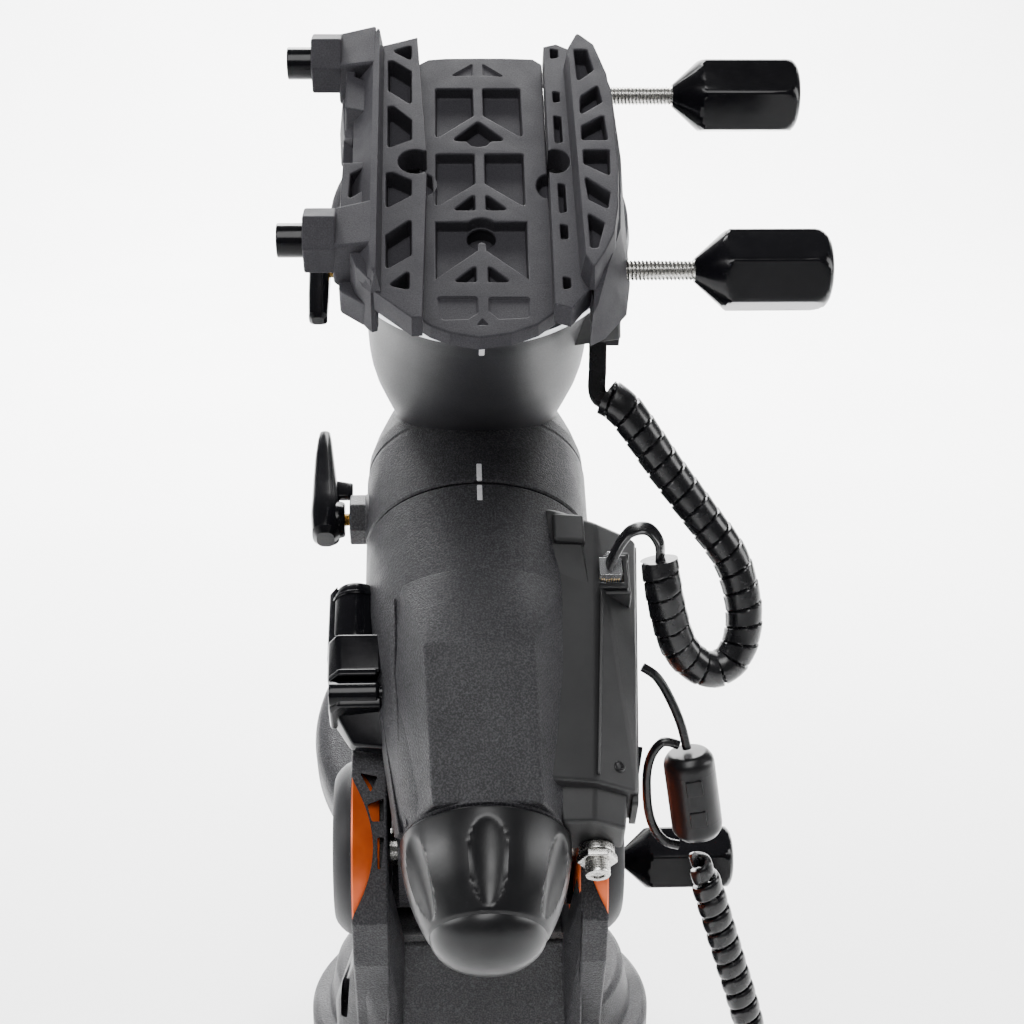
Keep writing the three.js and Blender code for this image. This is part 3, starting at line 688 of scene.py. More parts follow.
def length_of(points):
    return sum((Vector(b) - Vector(a)).length for a, b in zip(points, points[1:]))


def spiral_wrap(route, radius, pitch, depth):
    """Crowned bands of a spiral sleeve, each with its edge tucked under the next."""
    even = smooth_route(route, 0.5)
    total = length_of(even)
    sides = 40
    rings = []
    for i, (p, _, side, up) in enumerate(frames_along(even)):
        s = total * i / (len(even) - 1)
        ring = []
        for k in range(sides):
            turn = (s / pitch - k / sides) % 1
            groove = max(0, 1 - turn / 0.07, (turn - 0.95) / 0.05)
            r = radius - 0.28 * depth * turn - depth * groove ** 0.7
            ring.append(p + (side * math.cos(TAU * k / sides) + up * math.sin(TAU * k / sides)) * r)
        rings.append(ring)
    return skin(rings)


def helix(route, radius, pitch, thick, wide):
    """A cord of oval section wound round a route."""
    even = smooth_route(route, 0.5)
    total = length_of(even)
    spine = frames_along(even)
    turns = total / pitch
    per_turn = 26
    count = int(turns * per_turn)
    reach = radius - thick
    sides = 16
    rings = []
    for i in range(count + 1):
        share = i / count
        at = share * (len(even) - 1)
        j = min(int(at), len(even) - 2)
        p = even[j].lerp(even[j + 1], at - j)
        _, tangent, side, up = spine[j]
        t = TAU * turns * share
        out = side * math.cos(t) + up * math.sin(t)
        ease = min(1.0, 8 * share + 0.45, 8 * (1 - share) + 0.45)
        centre = p + out * reach * ease
        ring = []
        for k in range(sides):
            c, w = math.cos(TAU * k / sides), math.sin(TAU * k / sides)
            ring.append(centre + out * thick * math.copysign(abs(c) ** 0.6, c)
                        + tangent * wide * math.copysign(abs(w) ** 0.6, w))
        rings.append(ring)
    return skin(rings)


def make_dec_cable():
    leads = [piece(f"dec_cable_{body}_lead", tube(smooth_route(route, 1), 1.2, 20, 3.8, side), CORD, body,
                   matrix=ROW, flat_faces=False)
             for body, route, side in (("head", HEAD_LEAD, X), ("polar", PANEL_LEAD, (0.45, 0.85, 0.25)))]
    sleeve = spiral_wrap(WRAP_ROUTE, WRAP_R, WRAP_PITCH, 1.5)
    cable = piece("dec_cable_sleeve", sleeve, CORD, None, ["dec_cable"], ROW, flat_faces=False)
    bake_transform(cable)
    path = smooth_route(WRAP_ROUTE, 8)
    length_of(smooth_route(WRAP_ROUTE, 0.6)) * MM


def make_hand_cable():
    lead = piece("hand_cable_lead", tube(smooth_route(HAND_LEAD, 1), 2, 14), CORD, "polar", ["hand_cable"],
                 ROW, flat_faces=False)
    length_of(smooth_route(HAND_LEAD, 1)) * MM
    metres(smooth_route(HAND_LEAD, 3))
    axis = BEAD_FOOT - BEAD_TOP
    size = axis.length
    shell = edged([(0, 0), (8.4, 0), (10.6, 3), (11, 5), (11, size - 5), (10.6, size - 3), (8.4, size),
                   (0, size)], 1.2)
    grooves = [along(pipe(10.4, 11.05, z, z + 0.8, 0.2, 40), BEAD_TOP, axis) for z in (8, size - 8.8)]
    clips = [moved(block(-3.5, 3.5, 10, 11.6, z, z + 7, 0.5), pointing(BEAD_TOP, axis, (1, 0, 0)))
             for z in (9, size - 16)]
    piece("ferrite_bead_shell", joined(along(lathe(shell, 48), BEAD_TOP, axis), *grooves, *clips),
                 SATIN_PLASTIC, "polar", ["ferrite_bead"], ROW)
    loop = piece("ferrite_loop_cord", tube(smooth_route(LOOP_ROUTE, 1.2), 2, 14), CORD, "polar",
                 ["ferrite_loop"], ROW, flat_faces=False)
    length_of(smooth_route(LOOP_ROUTE, 1)) * MM
    metres(smooth_route(LOOP_ROUTE, 4))
    coil = piece("curly_cord_helix", helix(COIL_ROUTE, COIL_R, COIL_PITCH, 1.7, 3.7), CORD, "polar",
                 ["curly_cord"], ROW, flat_faces=False)
    low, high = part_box("hand_plug")
    cx, cy = (low.x + high.x) / 2 / MM, (low.y + high.y) / 2 / MM
    bottom, top = low.z / MM, high.z / MM
    boot = hull([(cx + x, cy + y, z) for z, w, d in ((top - 10, 3.5, 2.5), (top - 0.3, 2.6, 2.2))
                 for x in (-w, w) for y in (-d, d)], 0.8)
    ribs = [block(cx - 3.8 + 0.2 * i, cx + 3.8 - 0.2 * i, cy - 2.8, cy + 2.8, top - 9 + 2.4 * i,
                  top - 8 + 2.4 * i, 0.3)
            for i in range(4)]
    body = block(cx - 5.8, cx + 5.8, cy - 3.5, cy + 3.5, bottom, top - 9.5, 0.7)
    tongue = hull([(cx - 3, cy - 3.5, bottom + 4), (cx + 3, cy - 3.5, bottom + 4),
                   (cx - 2.6, cy - 4.9, bottom + 16), (cx + 2.6, cy - 4.9, bottom + 16),
                   (cx - 3, cy - 3, bottom + 3), (cx + 3, cy - 3, bottom + 3),
                   (cx - 2.6, cy - 4.2, bottom + 16.5), (cx + 2.6, cy - 4.2, bottom + 16.5)], 0.25)
    plug = piece("hand_plug_body", joined(body, boot, tongue, *ribs), SATIN_PLASTIC, "polar", ["hand_plug"],
                 ROW)
    contacts = piece("hand_plug_contacts", joined(*[
        block(cx - 4 + 1.15 * i, cx - 3.5 + 1.15 * i, cy + 3.2, cy + 3.7, bottom + 1, bottom + 7, 0.1)
        for i in range(8)]), BRASS, "polar", matrix=ROW)
    length_of(smooth_route(COIL_ROUTE, 1)) * MM
    metres(smooth_route(COIL_ROUTE, 8))


make_dec_cable()
make_hand_cable()


# ---------- hand knobs and screws ----------
def knob_body(length, radius, turn):
    """A cone that runs into a hexagonal grip with a rounded end."""
    def hexagonal(r, z, t):
        local = (t + turn) % (TAU / 6) - TAU / 12
        flat = 0.88 * radius / math.cos(local)
        return min(r, flat) if r > 0.6 * radius else r

    outline = [(0, 0), (4.6, 0), (5, 0.4)]
    outline += [(5 + (radius - 5) * i / 10, 0.4 + 12.6 * i / 10) for i in range(1, 11)]
    outline += [(radius, 13 + (length - 21) * i / 6) for i in range(1, 7)]
    outline += [(radius - 6.5 * (1 - math.cos(u)), length - 8 + 7.6 * math.sin(u))
                for u in (TAU / 4 * i / 8 for i in range(1, 9))]
    outline += [(radius - 7.4, length - 0.5), (radius - 8, length - 1), (0, length - 1.1)]
    return lathe(outline, 144, hexagonal)


def make_knob(name, body, tip, axis_at, rod_length, matrix, turn=0.0, radius=16.4, length=53):
    """A knob at the end of a threaded rod that runs along +X from its tip."""
    start = (tip, *axis_at)
    at = (tip + rod_length, *axis_at)
    piece(name + "_grip", along(knob_body(length, radius, turn), at, X, N), GLOSS, body, [name], matrix,
          sharp=18)
    piece(name + "_thread", along(threaded(4, 0, rod_length + 1, 1.5, 0.7), start, X, N), STEEL, body,
          matrix=matrix, flat_faces=False)


def socket_head(radius, low, high, key):
    """A cap screw's head with its hexagon socket, along Z."""
    outer = arc(0, 0, radius, 0, 352.5, 47)
    return milled(outer, low, high, [(arc(0, 0, key / 0.866, 0, 300, 5), (high - low) * 0.6, [])], edge=0.6)


JAW_ROD_TIP, TIE_Z, SCREW_Z = 31.5, 159, 176
TIE_AT = {"upper": 61, "lower": -40}


def make_jaw_hardware():
    for (end, a), turn in zip(TIE_AT.items(), (0.25, 0.52)):
        make_knob(f"jaw_knob_{end}", f"knob_{end}", JAW_ROD_TIP, (a, TIE_Z), 50.5, TILT, turn)
        head = along(socket_head(6.5, 67.2, 77.5, 3.4), (0, a, SCREW_Z), LEFT, N)
        shank = along(lathe(rect(0, 4, 46, 68), 32), (0, a, SCREW_Z), LEFT)
        piece(f"jaw_screw_{end}_head", joined(head, shank), GLOSS, "saddle", [f"jaw_screw_{end}"])


make_jaw_hardware()
LOCK_LOW, LOCK_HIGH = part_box("altitude_lock_knob")
LOCK_CENTRE = (LOCK_LOW + LOCK_HIGH) / 2 / MM
make_knob("altitude_lock_knob", "altitude_lock", LOCK_LOW.x / MM, (LOCK_CENTRE.y, LOCK_CENTRE.z), 128, ROW)


# ---------- saddle ----------
PAD_Z, FLOOR_Z, CREST_Z = 165, 176, 187


def make_saddle_plate():
    ends = [(-24, -70), (-20, -73.5), (-13, -77), (-2, -79.5), (10, -77.5), (20, -73), (25, -68.5),
            (27.6, -66), (27.6, 74), (24, 77.4), (12, 78), (1, 78), (-13, 77.8), (-20, 77), (-24, 74)]
    half_round = [(-24 + 6.3 * math.cos(t), 1.5 + 6.8 * math.sin(t))
                  for t in (math.radians(90 - 15 * i) for i in range(13))]
    half_round_right = [(27 - 4.6 * math.cos(t), 0.5 + 6.8 * math.sin(t))
                        for t in (math.radians(-90 + 15 * i) for i in range(13))]
    outline = ends[:8] + half_round_right + ends[8:] + half_round
    row3 = ([(-17.7, -19.3), (-17.9, -49.4), (-1.8, -34.5)] + arc(0, -32, 1.8, 180, 0, 6)
            + [(1.8, -34.5), (17.4, -49.8), (17.7, -19.3)] + arc(0, -24, 6.8, 43, 137, 8))
    pockets = [
        pocket([(-17.2, 58.4), (-1.9, 58.4), (-1.8, 42), (-17.3, 28.3)], 5),
        pocket([(2.3, 58.4), (17.8, 58.4), (17.9, 28.6), (2.3, 42)], 5),
        (rounded([(0, 38.4), (-10.8, 27), (-5, 26.8), (-3, 24.2), (0, 23.4), (3, 24.2), (5, 26.8),
                  (10.8, 27)],
                 1.2), 10, []),
        pocket([(-17.4, 19.1), (-2, 19.1), (-2, 2.2), (-17.7, -10.9)], 5),
        pocket([(2.2, 19.1), (17.8, 19.1), (17.5, -11), (2.1, 2.2)], 5),
        pocket([(-2.3, -3.9), (-2.3, -12.7), (-10.9, -12.7)], 6, 0.9),
        pocket([(2.1, -3.9), (10.6, -12.7), (2.1, -12.7)], 6, 0.9),
        (row3, 5, [(arc(0, -23.8, 5.6, 0, 345, 23), None, [])]),
        pocket([(-2.6, -42.6), (-2.6, -51.2), (-11.2, -51.2)], 5, 0.9),
        pocket([(2.1, -42.6), (10.4, -51.3), (2.1, -51.3)], 5, 0.9),
        pocket([(-17.7, -58.8), (-2.3, -58.8), (-2.3, -67.2), (-6, -70.2), (-16, -70.6)], 0.9, 1.6),
        pocket([(1.9, -59.2), (17.4, -59.3), (17, -69.6), (5.4, -70.4), (1.9, -66.4)], 0.9, 1.6),
        pocket([(-0.7, -70), (-2.7, -73.2), (1.4, -73.2)], 0.9, 0.3),
        pocket([(-1.6, 74), (-1.6, 66.7), (-10.6, 66.4)], 0.9, 0.5),
        pocket([(2.6, 74), (2.8, 66.7), (11.4, 66)], 0.9, 0.5),
    ]
    pad = milled(rounded(outline, 0.8, 2), 158.4, PAD_Z, pockets, edge=0.7, flare=0.6)
    disc = lathe(edged([(0, 142.3), (57, 142.3), (60, 145), (60, 149.5), (57.5, 152.6), (0, 152.6)], 1.2),
                 128)
    body = hull([(x, y, z) for z, grow in ((152.8, 0), (159, 2.5)) for x, y in
                 [(-39 - grow, -52 - grow), (-24, -66 - grow), (0, -68 - grow), (24, -66 - grow), (27.6, -60),
                  (27.6, 66), (20, 73), (-24, 73), (-39, 66)]], 1)
    bore = lathe(rect(0, 5.9, 153.4, 160), 32)
    body = carved(body, moved(bore, Matrix.Translation((0, -23.8, 0))))
    for a in TIE_AT.values():
        slot = along(lathe(rect(0, 4.8, 18.9, 34), 32), (0, a, TIE_Z), X, N)
        pad, body = carved(pad, slot), carved(body, slot)
    piece("saddle_plate_body", joined(pad, disc, body), ANODISED, "saddle", ["saddle_plate"])
    screw = joined(lathe(edged(rect(0, 4.6, 153, 157.4), 0.6), 40),
                   moved(lathe(edged(rect(0, 2.9, 154, 157), 0.4), 32),
                         Matrix.Translation((0, 28.6, 0))))
    piece("saddle_bolt_head", screw, STEEL, "saddle", ["saddle_bolt"])


def make_fixed_jaw():
    notch = [(-25.5 + 6.8 * math.cos(t), 3 + 6.8 * math.sin(t)) for t in
             (math.radians(60 + 15 * i) for i in range(17))]
    floor = [(-21, 9.2)] + notch + [(-21, -3.2), (-23, -79), (-27, -79.3), (-41, -66), (-41, 71.5),
                                    (-24.4, 77.8)]
    pockets = [
        pocket([(-34.9, 69), (-26.9, 72.6), (-26.9, 62.8)], 8),
        pocket([(-36.6, 62.8), (-34.4, 62.8), (-26.9, 56), (-26.9, 35.7), (-36.4, 44.7)], 8),
        pocket([(-36.5, 35.1), (-34.2, 35.1), (-26.9, 26.8), (-26.9, 15.5), (-36.4, 10.6)], 8),
        pocket([(-36.9, -3.2), (-34, -3.2), (-27, -7.6), (-27, -15.8), (-36.8, -23.1)], 8),
        pocket([(-27, -28.5), (-27, -47.8), (-36.6, -55.2), (-36.8, -37.3)], 8),
        pocket([(-27.8, -55.4), (-27.8, -65.6), (-35.6, -63.1)], 8),
    ]
    plate = milled(floor, PAD_Z + 0.3, FLOOR_Z, pockets, edge=0.5, draft=0.5)
    crest = skin([
        [(-38, 69, FLOOR_Z - 1), (-39.6, 69, CREST_Z), (-40.6, 69.5, CREST_Z), (-44, 66, FLOOR_Z - 1)],
        [(-38, 66, FLOOR_Z - 1), (-39.6, 66, CREST_Z), (-41, 66, CREST_Z), (-47, 62, FLOOR_Z - 1)],
        [(-38, 55, FLOOR_Z - 1), (-39.6, 55, CREST_Z), (-42, 55, CREST_Z - 1), (-50, 55, FLOOR_Z - 1)],
        [(-38, -52, FLOOR_Z - 1), (-39.9, -52, CREST_Z), (-42.5, -52, CREST_Z - 1), (-50, -52, FLOOR_Z - 1)],
        [(-38, -64, FLOOR_Z - 1), (-39.9, -64, CREST_Z), (-41.6, -64, CREST_Z - 1), (-45, -63, FLOOR_Z - 1)],
        [(-38, -67, FLOOR_Z - 1), (-39.9, -66, CREST_Z - 1), (-40.6, -66, CREST_Z - 2),
         (-42, -66, FLOOR_Z - 1)],
    ])
    ledge = [(-40.6, 70), (-45.8, 63), (-50.5, 57), (-53, 50), (-53.2, 28), (-44, 26), (-43, -2.5),
             (-53.4, -3), (-54, -22), (-52, -44), (-47.5, -58), (-41, -67)]
    holes = [pocket([(-48.9, 56), (-44.6, 53.5), (-43.6, 43), (-49.6, 47.5)], 7, 0.9),
             pocket([(-50.2, -9.5), (-44.8, -5.6), (-44.8, -17.8), (-50.8, -22.8)], 7, 0.9)]
    shelf = milled(rounded(ledge, 1.2, 3), 153.4, 181, holes, edge=0.7, flare=1.2)
    under = milled(rounded([(-41.5, 66), (-53, 60), (-54.5, 30), (-54.5, -56), (-41.5, -66)], 3), 153.3, 166,
                   edge=0.7)
    lugs = []
    for a in TIE_AT.values():
        lugs.append(hull([(-44, a - 12.6, 160), (-56.5, a - 11.6, 164), (-44, a + 12.6, 160),
                          (-56.5, a + 11.6, 164), (-41, a - 11.6, 186.4), (-56.5, a - 10.4, 183),
                          (-41, a + 11.6, 186.4), (-56.5, a + 10.4, 183), (-44, a - 9, 154),
                          (-44, a + 9, 154)], 1.2))
        boss = milled(rounded([(12.6 * math.cos(t), 12.6 * math.sin(t)) for t in
                               (math.radians(60 * i + 30) for i in range(6))], 1.2, 3), 55, 67.4,
                      [(arc(0, 0, 4.3, 0, 345, 23), 3, [])], edge=0.9)
        lugs.append(along(boss, (0, a, SCREW_Z), LEFT, A))
    strut = hull([(-52, 20, 153.4), (-56, 24, 153.4), (-46, 50, 153.4), (-57, 44, 153.4), (-50, 22, 172),
                  (-54, 26, 168), (-46, 50, 176), (-55, 44, 172)], 1)
    piece("fixed_jaw_body", joined(plate, crest, shelf, under, strut, *lugs), ANODISED, "saddle",
          ["fixed_jaw"])
    wedge = hull([(-51.5, 26.5, 158), (-44.6, 25.5, 158), (-43.6, -2.2, 158), (-51.5, -2.8, 158),
                  (-47.8, 25.5, 160), (-44.4, 25.5, 172), (-43.4, -2.2, 175), (-48.5, -2.8, 164)], 0.4)
    piece("fixed_jaw_wear_plate", wedge, ALUMINIUM, "saddle")


def make_moving_jaw():
    bite = [(29.6 + 5.6 * math.cos(t), 3 + 6.8 * math.sin(t)) for t in
            (math.radians(120 - 15 * i) for i in range(17))]
    floor = [(27.6, 71.7), (27, 9.2)] + bite + [(26.8, -3.2), (25.8, -72.7), (32, -75), (40, -64), (40, 69),
                                               (33, 73.5)]
    slots = [(30.3, 33.6, 64, 70.6), (30.2, 33, 37, 44.3), (29.9, 33, 13, 29.6), (29.8, 32.6, -26, -9.2),
             (29.6, 32.5, -40.3, -31.5), (29.3, 32.2, -65.8, -59)]
    pockets = [pocket([(x0, y0), (x1, y0 + 1), (x1, y1 - 1), (x0, y1)], 7, 0.9) for x0, x1, y0, y1 in slots]
    plate = milled(floor, PAD_Z + 0.3, FLOOR_Z, pockets, edge=0.45, draft=0.2)
    leaf = [(40.7, 67.5), (36.6, 58), (37.2, -58.5), (39.8, -65.7), (45, -56), (48.7, -47), (51, -33),
            (52.3, -12), (52.6, 20), (51.4, 42), (47.2, 60)]
    windows = [
        pocket([(38.9, 56.5), (44.3, 56.5), (46.2, 44), (39.3, 37)], 8, 1),
        pocket([(39.8, 26), (40.4, 28.5), (47.3, 35), (48.6, 25), (39.4, 17.4)], 8, 1),
        pocket([(39.4, 9.3), (39.6, 11), (48.6, 17.4), (49.4, 3), (39.2, 3)], 8, 1),
        pocket([(39.4, -2.6), (49.6, -2.6), (49, -17), (39.2, -10.2)], 8, 1),
        pocket([(39.6, -17.8), (39.2, -19.6), (40, -29.8), (47, -35), (48.4, -26.2)], 8, 1),
        pocket([(39.2, -36.8), (45.2, -42.4), (42, -55), (39.2, -55.2)], 8, 1),
    ]
    ridge = milled(rounded(counterclockwise(leaf), 1.2, 3), FLOOR_Z - 1, CREST_Z, windows, edge=0.6,
                   flare=1.3)
    flank = skin([
        [(43, 70, 153.4), (43, 70, 173), (44, 66, 180), (46, 66, 153.4)],
        [(41, 60, 153.4), (41, 60, 179), (50, 58, 180), (55, 56, 153.4)],
        [(41, 40, 153.4), (41, 40, 180), (53.5, 41, 180), (57, 40, 153.4)],
        [(41, 0, 153.4), (41, 0, 180), (54.8, 0, 180), (58, 0, 153.4)],
        [(41, -40, 153.4), (41, -40, 180), (52, -38, 180), (57.5, -42, 153.4)],
        [(41, -62, 153.4), (41, -62, 178), (46, -58, 179), (55, -58, 153.4)],
        [(40, -74, 153.4), (40, -74, 171), (42, -70, 172), (46, -70, 153.4)],
    ])
    for a in TIE_AT.values():
        flank = carved(flank, along(lathe(rect(0, 4.5, 36, 64), 32), (0, a, TIE_Z), X, N))
    piece("moving_jaw_body", joined(plate, ridge, flank), ANODISED, "jaw", ["moving_jaw"])


def make_setting_ring():
    ring = pipe(15.3, 61, 139.2, 142, 0.5, 128)
    piece("dec_setting_ring_body", ring, ALUMINIUM, "saddle", ["dec_setting_ring"])


make_saddle_plate()
make_fixed_jaw()
make_moving_jaw()
make_setting_ring()


# ---------- head: declination housing, clutches and motor ----------
def index_mark(at, along_surface, outward, length, width=2.2):
    """A raised painted line on a surface."""
    bar = milled(rounded(rect(-width / 2, width / 2, -length / 2, length / 2), 0.4, 2), -1.2, 0.45, edge=0.25)
    side = Vector(along_surface).cross(Vector(outward))
    turn = Matrix((side, Vector(along_surface), Vector(outward))).transposed().to_4x4()
    return moved(bar, Matrix.Translation(Vector(at)) @ turn)


NECK = [(0, 10), (33.6, 10), (34, 16), (35.2, 23), (37.8, 34), (41.2, 45), (44.4, 56), (46.2, 66), (46.9, 74),
        (47.6, 95), (49, 112), (51.2, 121), (52.4, 127), (53, 131), (53.6, 132), (53.6, 135.6), (53, 137.5),
        (0, 138)]


def neck_radius(r, n, t):
    """The neck is oval low down and becomes round at its lip."""
    grown = min(max((n - 50) / 75, 0), 1)
    flat = 0.72 + 0.28 * grown * grown * (3 - 2 * grown)
    return r * flat / math.hypot(flat * math.cos(t), math.sin(t))


def make_head():
    shell = [(0, -58.6), (49.2, -58.6), (50, -57.8), (50, -24), (49.5, -21.5), (49, -21), (49, -20.2),
             (49.5, -19.6), (49.2, -14), (48.6, -12), (46.6, -5), (44.3, 1), (41.5, 8), (38, 14), (33, 20),
             (26, 25), (14, 28.6), (0, 30)]
    body = along(lathe(shell, 128), (0, 0, 0), A, X)
    neck = lathe(NECK, 128, neck_radius)
    foot = lathe(edged([(0, -53), (25, -53), (27, -51), (27, -46), (0, -46)], 0.8), 64)
    piece("head_casting_body", joined(body, foot), CAST, "head", ["head_casting"])
    piece("declination_neck", neck, SATIN, "head")
    bosses = []
    for at, r, far in (((0, -42, 0), 10.5, 58), ((0, 0, 118), 9, 58)):
        hexagon = six_corners((r + 1))
        bosses.append(along(milled(rounded(hexagon, 1.4), 44, far - 0.4, [(arc(0, 0, 4, 0, 345, 23), 4, [])],
                                   edge=0.9),
                            at, LEFT, N))
        bosses.append(along(lathe(edged([(0, 40), (r + 2.4, 40), (r + 1, 50.5), (0, 50.5)], 0.8), 48), at,
                            LEFT))
    housing = hull([(36, -24, 96), (36, 0, 96), (59.6, -22, 98.5), (59.6, -2, 98.5),
                    (36, -24, 119), (36, 0, 119), (57.8, -22, 118.8), (57.8, -2, 118.8)], 1.2)
    piece("clutch_bosses", joined(*bosses), CAST, "head")
    piece("dec_port_housing", housing, MATT, "head")
    jack = joined(block(48.8, 59.4, -19.2, -17.4, 91.8, 99, 0.3),
                  block(48.8, 59.4, -6.6, -4.8, 91.8, 99, 0.3), block(48.8, 50.4, -18, -6, 91.8, 99, 0.3),
                  block(57.8, 59.4, -18, -6, 91.8, 99, 0.3), block(49, 59.2, -18.8, -5.2, 97.5, 107, 0.3))
    piece("dec_port_jack", jack, SATIN_PLASTIC, "head", ["dec_port"])
    piece("ra_index_mark", index_mark((0, -53.8, 49.9), A, N, 9), MARK, "head")
    piece("dec_index_mark", index_mark((0, -52.4, 127.5), (0, -math.sin(0.27), math.cos(0.27)),
                                       (0, -math.cos(0.27), -math.sin(0.27)), 9), MARK, "head")


def make_clutches():
    for name, y, z, r in (("ra_clutch", -42, 0, 3.0), ("dec_clutch", 0, 118, 3.0)):
        far = 66 if name == "ra_clutch" else 65.6
        piece(f"{name}_screw_thread", along(threaded(r, 45.5, far, 0.9, 0.4, 24), (0, y, z), LEFT, N), BRASS,
              name, [f"{name}_screw"], flat_faces=False)
    sections = []
    for a, low, high, half in ((-53, -64.5, -72.5, 5.5), (-50.5, -62.2, -74.6, 8.2), (-42, -61.6, -75.4, 9.8),
                               (-33, -62.4, -75.2, 8.6), (-22, -63.8, -75, 7), (-8, -65.6, -74.6, 6),
                               (2, -66.8, -73.8, 5), (6.6, -67.6, -73, 4), (8.2, -68.8, -71.8, 2.4)):
        cx, rx = (low + high) / 2, abs(high - low) / 2
        sections.append([(cx + rx * abs(math.cos(t)) ** 0.7 * math.copysign(1, math.cos(t)), a,
                          half * abs(math.sin(t)) ** 0.7 * math.copysign(1, math.sin(t)))
                         for t in (TAU * k / 32 for k in range(32))])
    lever = skin(sections)
    hub = along(lathe(edged([(0, 59.8), (7.6, 59.8), (8.4, 62), (8.4, 66), (0, 66)], 0.8), 40), (0, -42, 0),
                LEFT)
    tab = hull([(-56.6, -30, -2), (-56.6, -30, 2), (-66, -30, -2), (-66, -30, 2), (-56.6, -22, -1.5),
                (-56.6, -22, 1.5), (-66, -20, -1.5), (-66, -20, 1.5)], 0.8)
    piece("ra_clutch_lever_grip", joined(lever, hub, tab), GLOSS, "ra_clutch", ["ra_clutch_lever"],
          flat_faces=False)
    sections = []
    for a, half_n, half_x in ((-28, 2.2, 2.4), (-26.5, 4, 3.8), (-16, 5.4, 4.2), (-8, 6.8, 4.3), (0, 8, 4.4),
                              (8, 6.8, 4.3), (16, 5, 4), (22, 3.8, 3.6), (24, 1.8, 2.2)):
        sections.append([(-65.8 + half_x * abs(math.cos(t)) ** 0.6 * math.copysign(1, math.cos(t)), a,
                          118 + half_n * abs(math.sin(t)) ** 0.6 * math.copysign(1, math.sin(t)))
                         for t in (TAU * k / 32 for k in range(32))])
    piece("dec_clutch_lever_grip", skin(sections), GLOSS, "dec_clutch", ["dec_clutch_lever"],
          flat_faces=False)


def make_dec_motor_cover():
    shell = hull([(-43.6, 22, 125.6), (43.6, 22, 125.6), (-43.6, 22, 44.4), (43.6, 22, 44.4),
                  (-39.6, 65.6, 123.6), (39.6, 65.6, 123.6), (-27.8, 81.6, 115.6), (27.8, 81.6, 115.6),
                  (-39.6, 65.6, 52.4), (39.6, 65.6, 52.4), (-27.8, 81.6, 60.4), (27.8, 81.6, 60.4)], 3.2, 5)
    panel = moved(milled(rounded([(-25, 64), (25, 64), (28, 72), (28, 104), (25, 112), (-25, 112), (-28, 104),
                                  (-28, 72)], 3), 80, 82, [pocket([(-20, 69), (20, 69), (22, 76), (22, 100),
                                                                   (20, 107), (-20, 107), (-22, 100),
                                                                   (-22, 76)], 1.0, 3)],
                         edge=0.7),
                  Matrix(((-1, 0, 0, 0), (0, 0, 1, 0), (0, 1, 0, 0), (0, 0, 0, 1))))
    seam = hull([(-43.9, 30, 125.9), (43.9, 30, 125.9), (-43.9, 30, 44.1), (43.9, 30, 44.1),
                 (-43.7, 31.2, 125.9), (43.7, 31.2, 125.9), (-43.7, 31.2, 44.1), (43.7, 31.2, 44.1)], 0.5)
    screws = [along(socket_head(2.6, -1.2, 0.8, 1.2), (x, 82, n), A, X) for x in (-23.5, 23.5) for n in (66,
                                                                                                         110)]
    piece("dec_motor_cover_shell", joined(shell, panel, seam), SATIN_PLASTIC, "head", ["dec_motor_cover"])
    piece("dec_motor_cover_screws", joined(*screws), STEEL, "head")


make_head()
make_clutches()
make_dec_motor_cover()


# ---------- right-ascension housing ----------
def make_ra_housing():
    profile = [(0, -203.4), (32.6, -203.4), (33.6, -202.6), (36, -195), (38.8, -180), (41.5, -165),
               (44.6, -145), (47.5, -125), (49, -113), (49.8, -104), (50, -98), (50, -60.4), (49.2, -59.3),
               (0, -59.3)]
    shell = along(lathe(profile, 128), (0, 0, 0), A, X)
    top = [(49.9 * math.cos(t), -103, 49.9 * math.sin(t)) for t in
           (math.radians(47 + 86 * i / 14) for i in range(15))]
    facet = hull(top + [(-24, -141, 50.5), (20, -141, 50.5), (-36.5, -141, 28), (36, -141, 28),
                        (-21, -202.4, 32), (22, -202.4, 32), (-31, -202.4, 13), (31, -202.4, 13),
                        (0, -150, 0), (0, -105, 0)], 1.3, 4)
    rims = [hull([(side * x, a, n) for x, a, n in
                  ((36.2, -108, 35.4), (38, -108, 33), (36.9, -141, 28.9), (38.6, -141, 26.4),
                   (31.4, -202, 13.8), (33, -202, 11), (34, -108, 28), (34, -141, 22), (28, -202, 8))],
                 0.6) for side in (1, -1)]
    shoulder = hull([(-49.4, -104, 2), (-48.4, -104, 14), (-40, -104, 0), (-47, -128, 4), (-45.4, -128, 15),
                     (-36.6, -202, 1), (-35, -202, 9), (-28, -202, 2), (-38, -128, 2)], 0.9)
    lug_outline = arc(-175.9, -59.4, 26, 160, 340, 20) + [(-118, -34), (-114, -14), (-198, -14)]
    lug = side_plate(rounded(lug_outline, 2), -39.4, 39.4, pockets=[
        (arc(-175.9, -59.4, 8.4, 0, 345, 23), None, [])], edge=1.2)
    step = side_plate(rounded([(-190, -20), (-122, -20), (-124, -40), (-150, -52), (-166, -36), (-186, -32)],
                              4),
                      -39.6, 39.6, edge=0.8)
    parts = [shell, facet, shoulder, lug, step, *rims]
    for side in (-1, 1):
        for inner, near, far in ((39.3, -164, -124), (36, -206, -163)):
            low, high = sorted((side * inner, side * 60))
            relief = block(low, high, near, far, -66, -8, 0.3)
            parts = [carved(part, relief) for part in parts]
    piece("ra_housing_shell", joined(*parts), CAST, "polar", ["ra_housing"])
    piece("ra_housing_index_mark", index_mark((0, -64.8, 49.9), A, N, 8), MARK, "polar")


